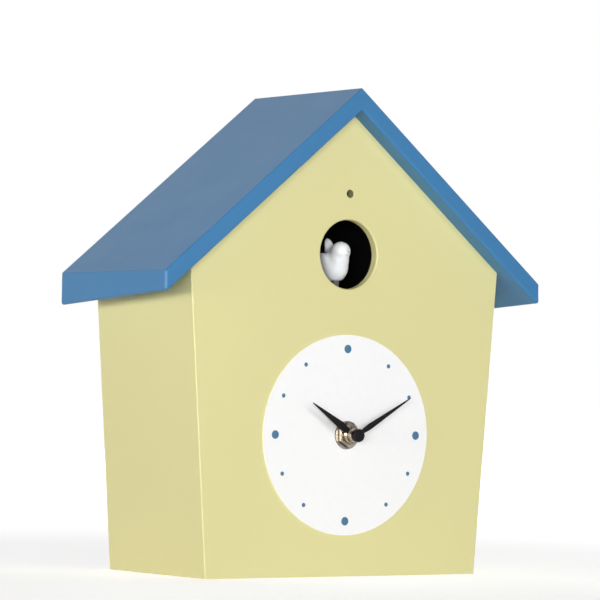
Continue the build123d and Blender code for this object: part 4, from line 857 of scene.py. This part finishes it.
class CLOCK_OT_set_stage(bpy.types.Operator):
    """Set the floor, the lamps, the world and the camera"""

    bl_idname = "clock.set_stage"
    bl_label = "Set Stage"

    def execute(self, context):
        stage = context.scene.clock_stage
        self.light_world(context, stage)
        self.lay_floor(context, stage)
        self.place_lamps(context, stage)
        self.set_camera(context, stage)
        context.scene.view_settings.view_transform = "Standard"
        return {"FINISHED"}

    def ramp(self, tree, source, ends, low, high):
        """A value that runs from low to high between two places."""
        node = tree.nodes.new("ShaderNodeMapRange")
        values = {"From Min": ends[0], "From Max": ends[1], "To Min": low, "To Max": high}
        for name, value in values.items():
            node.inputs[name].default_value = value
        tree.links.new(source, node.inputs["Value"])
        return node.outputs["Result"]

    def combine(self, tree, operation, first, second):
        """Two values put together by a mathematical operation."""
        node = tree.nodes.new("ShaderNodeMath")
        node.operation = operation
        tree.links.new(first, node.inputs[0])
        tree.links.new(second, node.inputs[1])
        return node.outputs["Value"]

    def seen_directly(self, tree):
        """One for rays that show a background: camera, reflections and through clear things."""
        rays = tree.nodes.new("ShaderNodeLightPath")
        shown = rays.outputs["Is Camera Ray"]
        for name in ("Is Glossy Ray", "Is Transmission Ray"):
            shown = self.combine(tree, "MAXIMUM", shown, rays.outputs[name])
        return shown

    def light_world(self, context, stage):
        """Soft light from the horizon, with a white backdrop behind and a dim room in front."""
        world = bpy.data.worlds.new("studio")
        context.scene.world = world
        world.use_nodes = True
        tree = world.node_tree
        soft = tree.nodes["Background"]
        shown = tree.nodes.new("ShaderNodeBackground")
        for background in (soft, shown):
            background.inputs["Color"].default_value = (1.0, 1.0, 1.0, 1.0)
        direction = tree.nodes.new("ShaderNodeTexCoord")
        split = tree.nodes.new("ShaderNodeSeparateXYZ")
        tree.links.new(direction.outputs["Generated"], split.inputs["Vector"])
        level = self.ramp(tree, split.outputs["Z"], HORIZON_BAND, stage.around, stage.above)
        tree.links.new(level, soft.inputs["Strength"])
        room = self.ramp(tree, split.outputs["Y"], ROOM_EDGE, stage.room, 1.0)
        camera_ray = tree.nodes.new("ShaderNodeLightPath").outputs["Is Camera Ray"]
        backdrop = self.combine(tree, "MAXIMUM", room, camera_ray)
        tree.links.new(backdrop, shown.inputs["Strength"])
        mix = tree.nodes.new("ShaderNodeMixShader")
        tree.links.new(self.seen_directly(tree), mix.inputs["Fac"])
        tree.links.new(soft.outputs["Background"], mix.inputs[1])
        tree.links.new(shown.outputs["Background"], mix.inputs[2])
        tree.links.new(mix.outputs["Shader"], tree.nodes["World Output"].inputs["Surface"])

    def lay_floor(self, context, stage):
        """A pale floor that keeps the clock's shadow and fades into the white backdrop."""
        work = bmesh.new()
        bmesh.ops.create_grid(work, x_segments=1, y_segments=1, size=FLOOR_REACH)
        mesh = bpy.data.meshes.new("floor")
        work.to_mesh(mesh)
        work.free()
        material = bpy.data.materials.new("floor_white")
        material.use_nodes = True
        tree = material.node_tree
        shader = tree.nodes["Principled BSDF"]
        shader.inputs["Base Color"].default_value = (*[stage.floor_grey] * 3, 1.0)
        shader.inputs["Roughness"].default_value = 0.8
        shader.inputs["Specular IOR Level"].default_value = 0.1
        glow = tree.nodes.new("ShaderNodeEmission")
        distance = tree.nodes.new("ShaderNodeVectorMath")
        distance.operation = "LENGTH"
        place = tree.nodes.new("ShaderNodeNewGeometry").outputs["Position"]
        tree.links.new(place, distance.inputs[0])
        lift = self.ramp(tree, distance.outputs["Value"], FLOOR_FADE, stage.floor_lift, 1.0)
        strength = self.combine(tree, "MULTIPLY", self.seen_directly(tree), lift)
        tree.links.new(strength, glow.inputs["Strength"])
        total = tree.nodes.new("ShaderNodeAddShader")
        tree.links.new(shader.outputs["BSDF"], total.inputs[0])
        tree.links.new(glow.outputs["Emission"], total.inputs[1])
        tree.links.new(total.outputs["Shader"], tree.nodes["Material Output"].inputs["Surface"])
        mesh.materials.append(material)
        floor = bpy.data.objects.new("floor", mesh)
        context.scene.collection.objects.link(floor)

    def place_lamps(self, context, stage):
        """Soft boxes around the clock, the left one warm and the rear one out of reflections."""
        front = self.add_lamp(context, "front_lamp", (0.2, -2.6, 0.65), (1.3, 1.1))
        near = self.add_lamp(context, "near_lamp", (-1.48, -2.13, 0.2), (1.5, 0.38))
        left = self.add_lamp(context, "left_lamp", (-2.6, -0.1, 0.2), (1.5, 0.38))
        right = self.add_lamp(context, "right_lamp", (2.6, 0.5, 0.4), (1.5, 0.7))
        rear = self.add_lamp(context, "rear_lamp", (0.5, 2.6, 0.6), (1.5, 1.0))
        front.data.energy = stage.front_power
        near.data.energy = stage.near_power
        left.data.energy = stage.left_power
        left.data.color = stage.left_tint
        right.data.energy = stage.right_power
        rear.data.energy = stage.rear_power
        rear.visible_glossy = False

    def add_lamp(self, context, name, place, size):
        """A rectangular soft box that looks at the clock."""
        lamp = bpy.data.lights.new(name, "AREA")
        lamp.shape = "RECTANGLE"
        lamp.size, lamp.size_y = size
        holder = bpy.data.objects.new(name, lamp)
        holder.location = place
        holder.rotation_euler = (LAMP_TARGET - Vector(place)).to_track_quat("-Z", "Y").to_euler()
        context.scene.collection.objects.link(holder)
        return holder

    def set_camera(self, context, stage):
        """A long lens, turned by yaw, then pitch, then roll."""
        camera = bpy.data.cameras.new("camera")
        camera.lens = stage.lens
        camera.clip_end = VIEW_END
        holder = bpy.data.objects.new("camera", camera)
        yaw, pitch = stage.camera_yaw, stage.camera_pitch
        level = math.cos(pitch)
        ahead = Vector((-math.sin(yaw) * level, math.cos(yaw) * level, math.sin(pitch)))
        right = ahead.cross(Vector((0, 0, 1))).normalized()
        right = Matrix.Rotation(-stage.camera_roll, 3, ahead) @ right
        up = right.cross(ahead)
        rotation = Matrix((right, up, -ahead)).transposed().to_4x4()
        holder.matrix_world = Matrix.Translation(Vector(stage.camera_place)) @ rotation
        context.scene.collection.objects.link(holder)
        context.scene.camera = holder


class CLOCK_PT_panel(bpy.types.Panel):
    """Steps and settings of the clock's finishes"""

    bl_idname = "CLOCK_PT_panel"
    bl_label = "Cuckoo Clock"
    bl_space_type = "VIEW_3D"
    bl_region_type = "UI"
    bl_category = "Clock"

    def draw(self, context):
        for step in STEPS:
            self.layout.operator(step.bl_idname)
        for name in GROUPS:
            group = getattr(context.scene, name)
            box = self.layout.box()
            for setting in group.__annotations__:
                box.prop(group, setting)


STEPS = (
    CLOCK_OT_paint_house,
    CLOCK_OT_print_dial,
    CLOCK_OT_turn_hub,
    CLOCK_OT_finish_hands,
    CLOCK_OT_finish_bird,
    CLOCK_OT_finish_works,
    CLOCK_OT_finish_rear,
    CLOCK_OT_set_stage,
)
GROUPS = {"clock_colours": ClockColours, "clock_sizes": ClockSizes, "clock_stage": ClockStage}
CLASSES = (*GROUPS.values(), *STEPS, CLOCK_PT_panel)


def register():
    """Adds the classes and the scene's settings."""
    for cls in CLASSES:
        bpy.utils.register_class(cls)
    for name, group in GROUPS.items():
        setattr(bpy.types.Scene, name, PointerProperty(type=group))


def unregister():
    """Takes the settings and the classes away again."""
    for name in GROUPS:
        delattr(bpy.types.Scene, name)
    for cls in reversed(CLASSES):
        bpy.utils.unregister_class(cls)


def main():
    """Runs each step in order."""
    register()
    bpy.ops.clock.paint_house()
    bpy.ops.clock.print_dial()
    bpy.ops.clock.turn_hub()
    bpy.ops.clock.finish_hands()
    bpy.ops.clock.finish_bird()
    bpy.ops.clock.finish_works()
    bpy.ops.clock.finish_rear()
    bpy.ops.clock.set_stage()


if __name__ == "__main__":
    main()
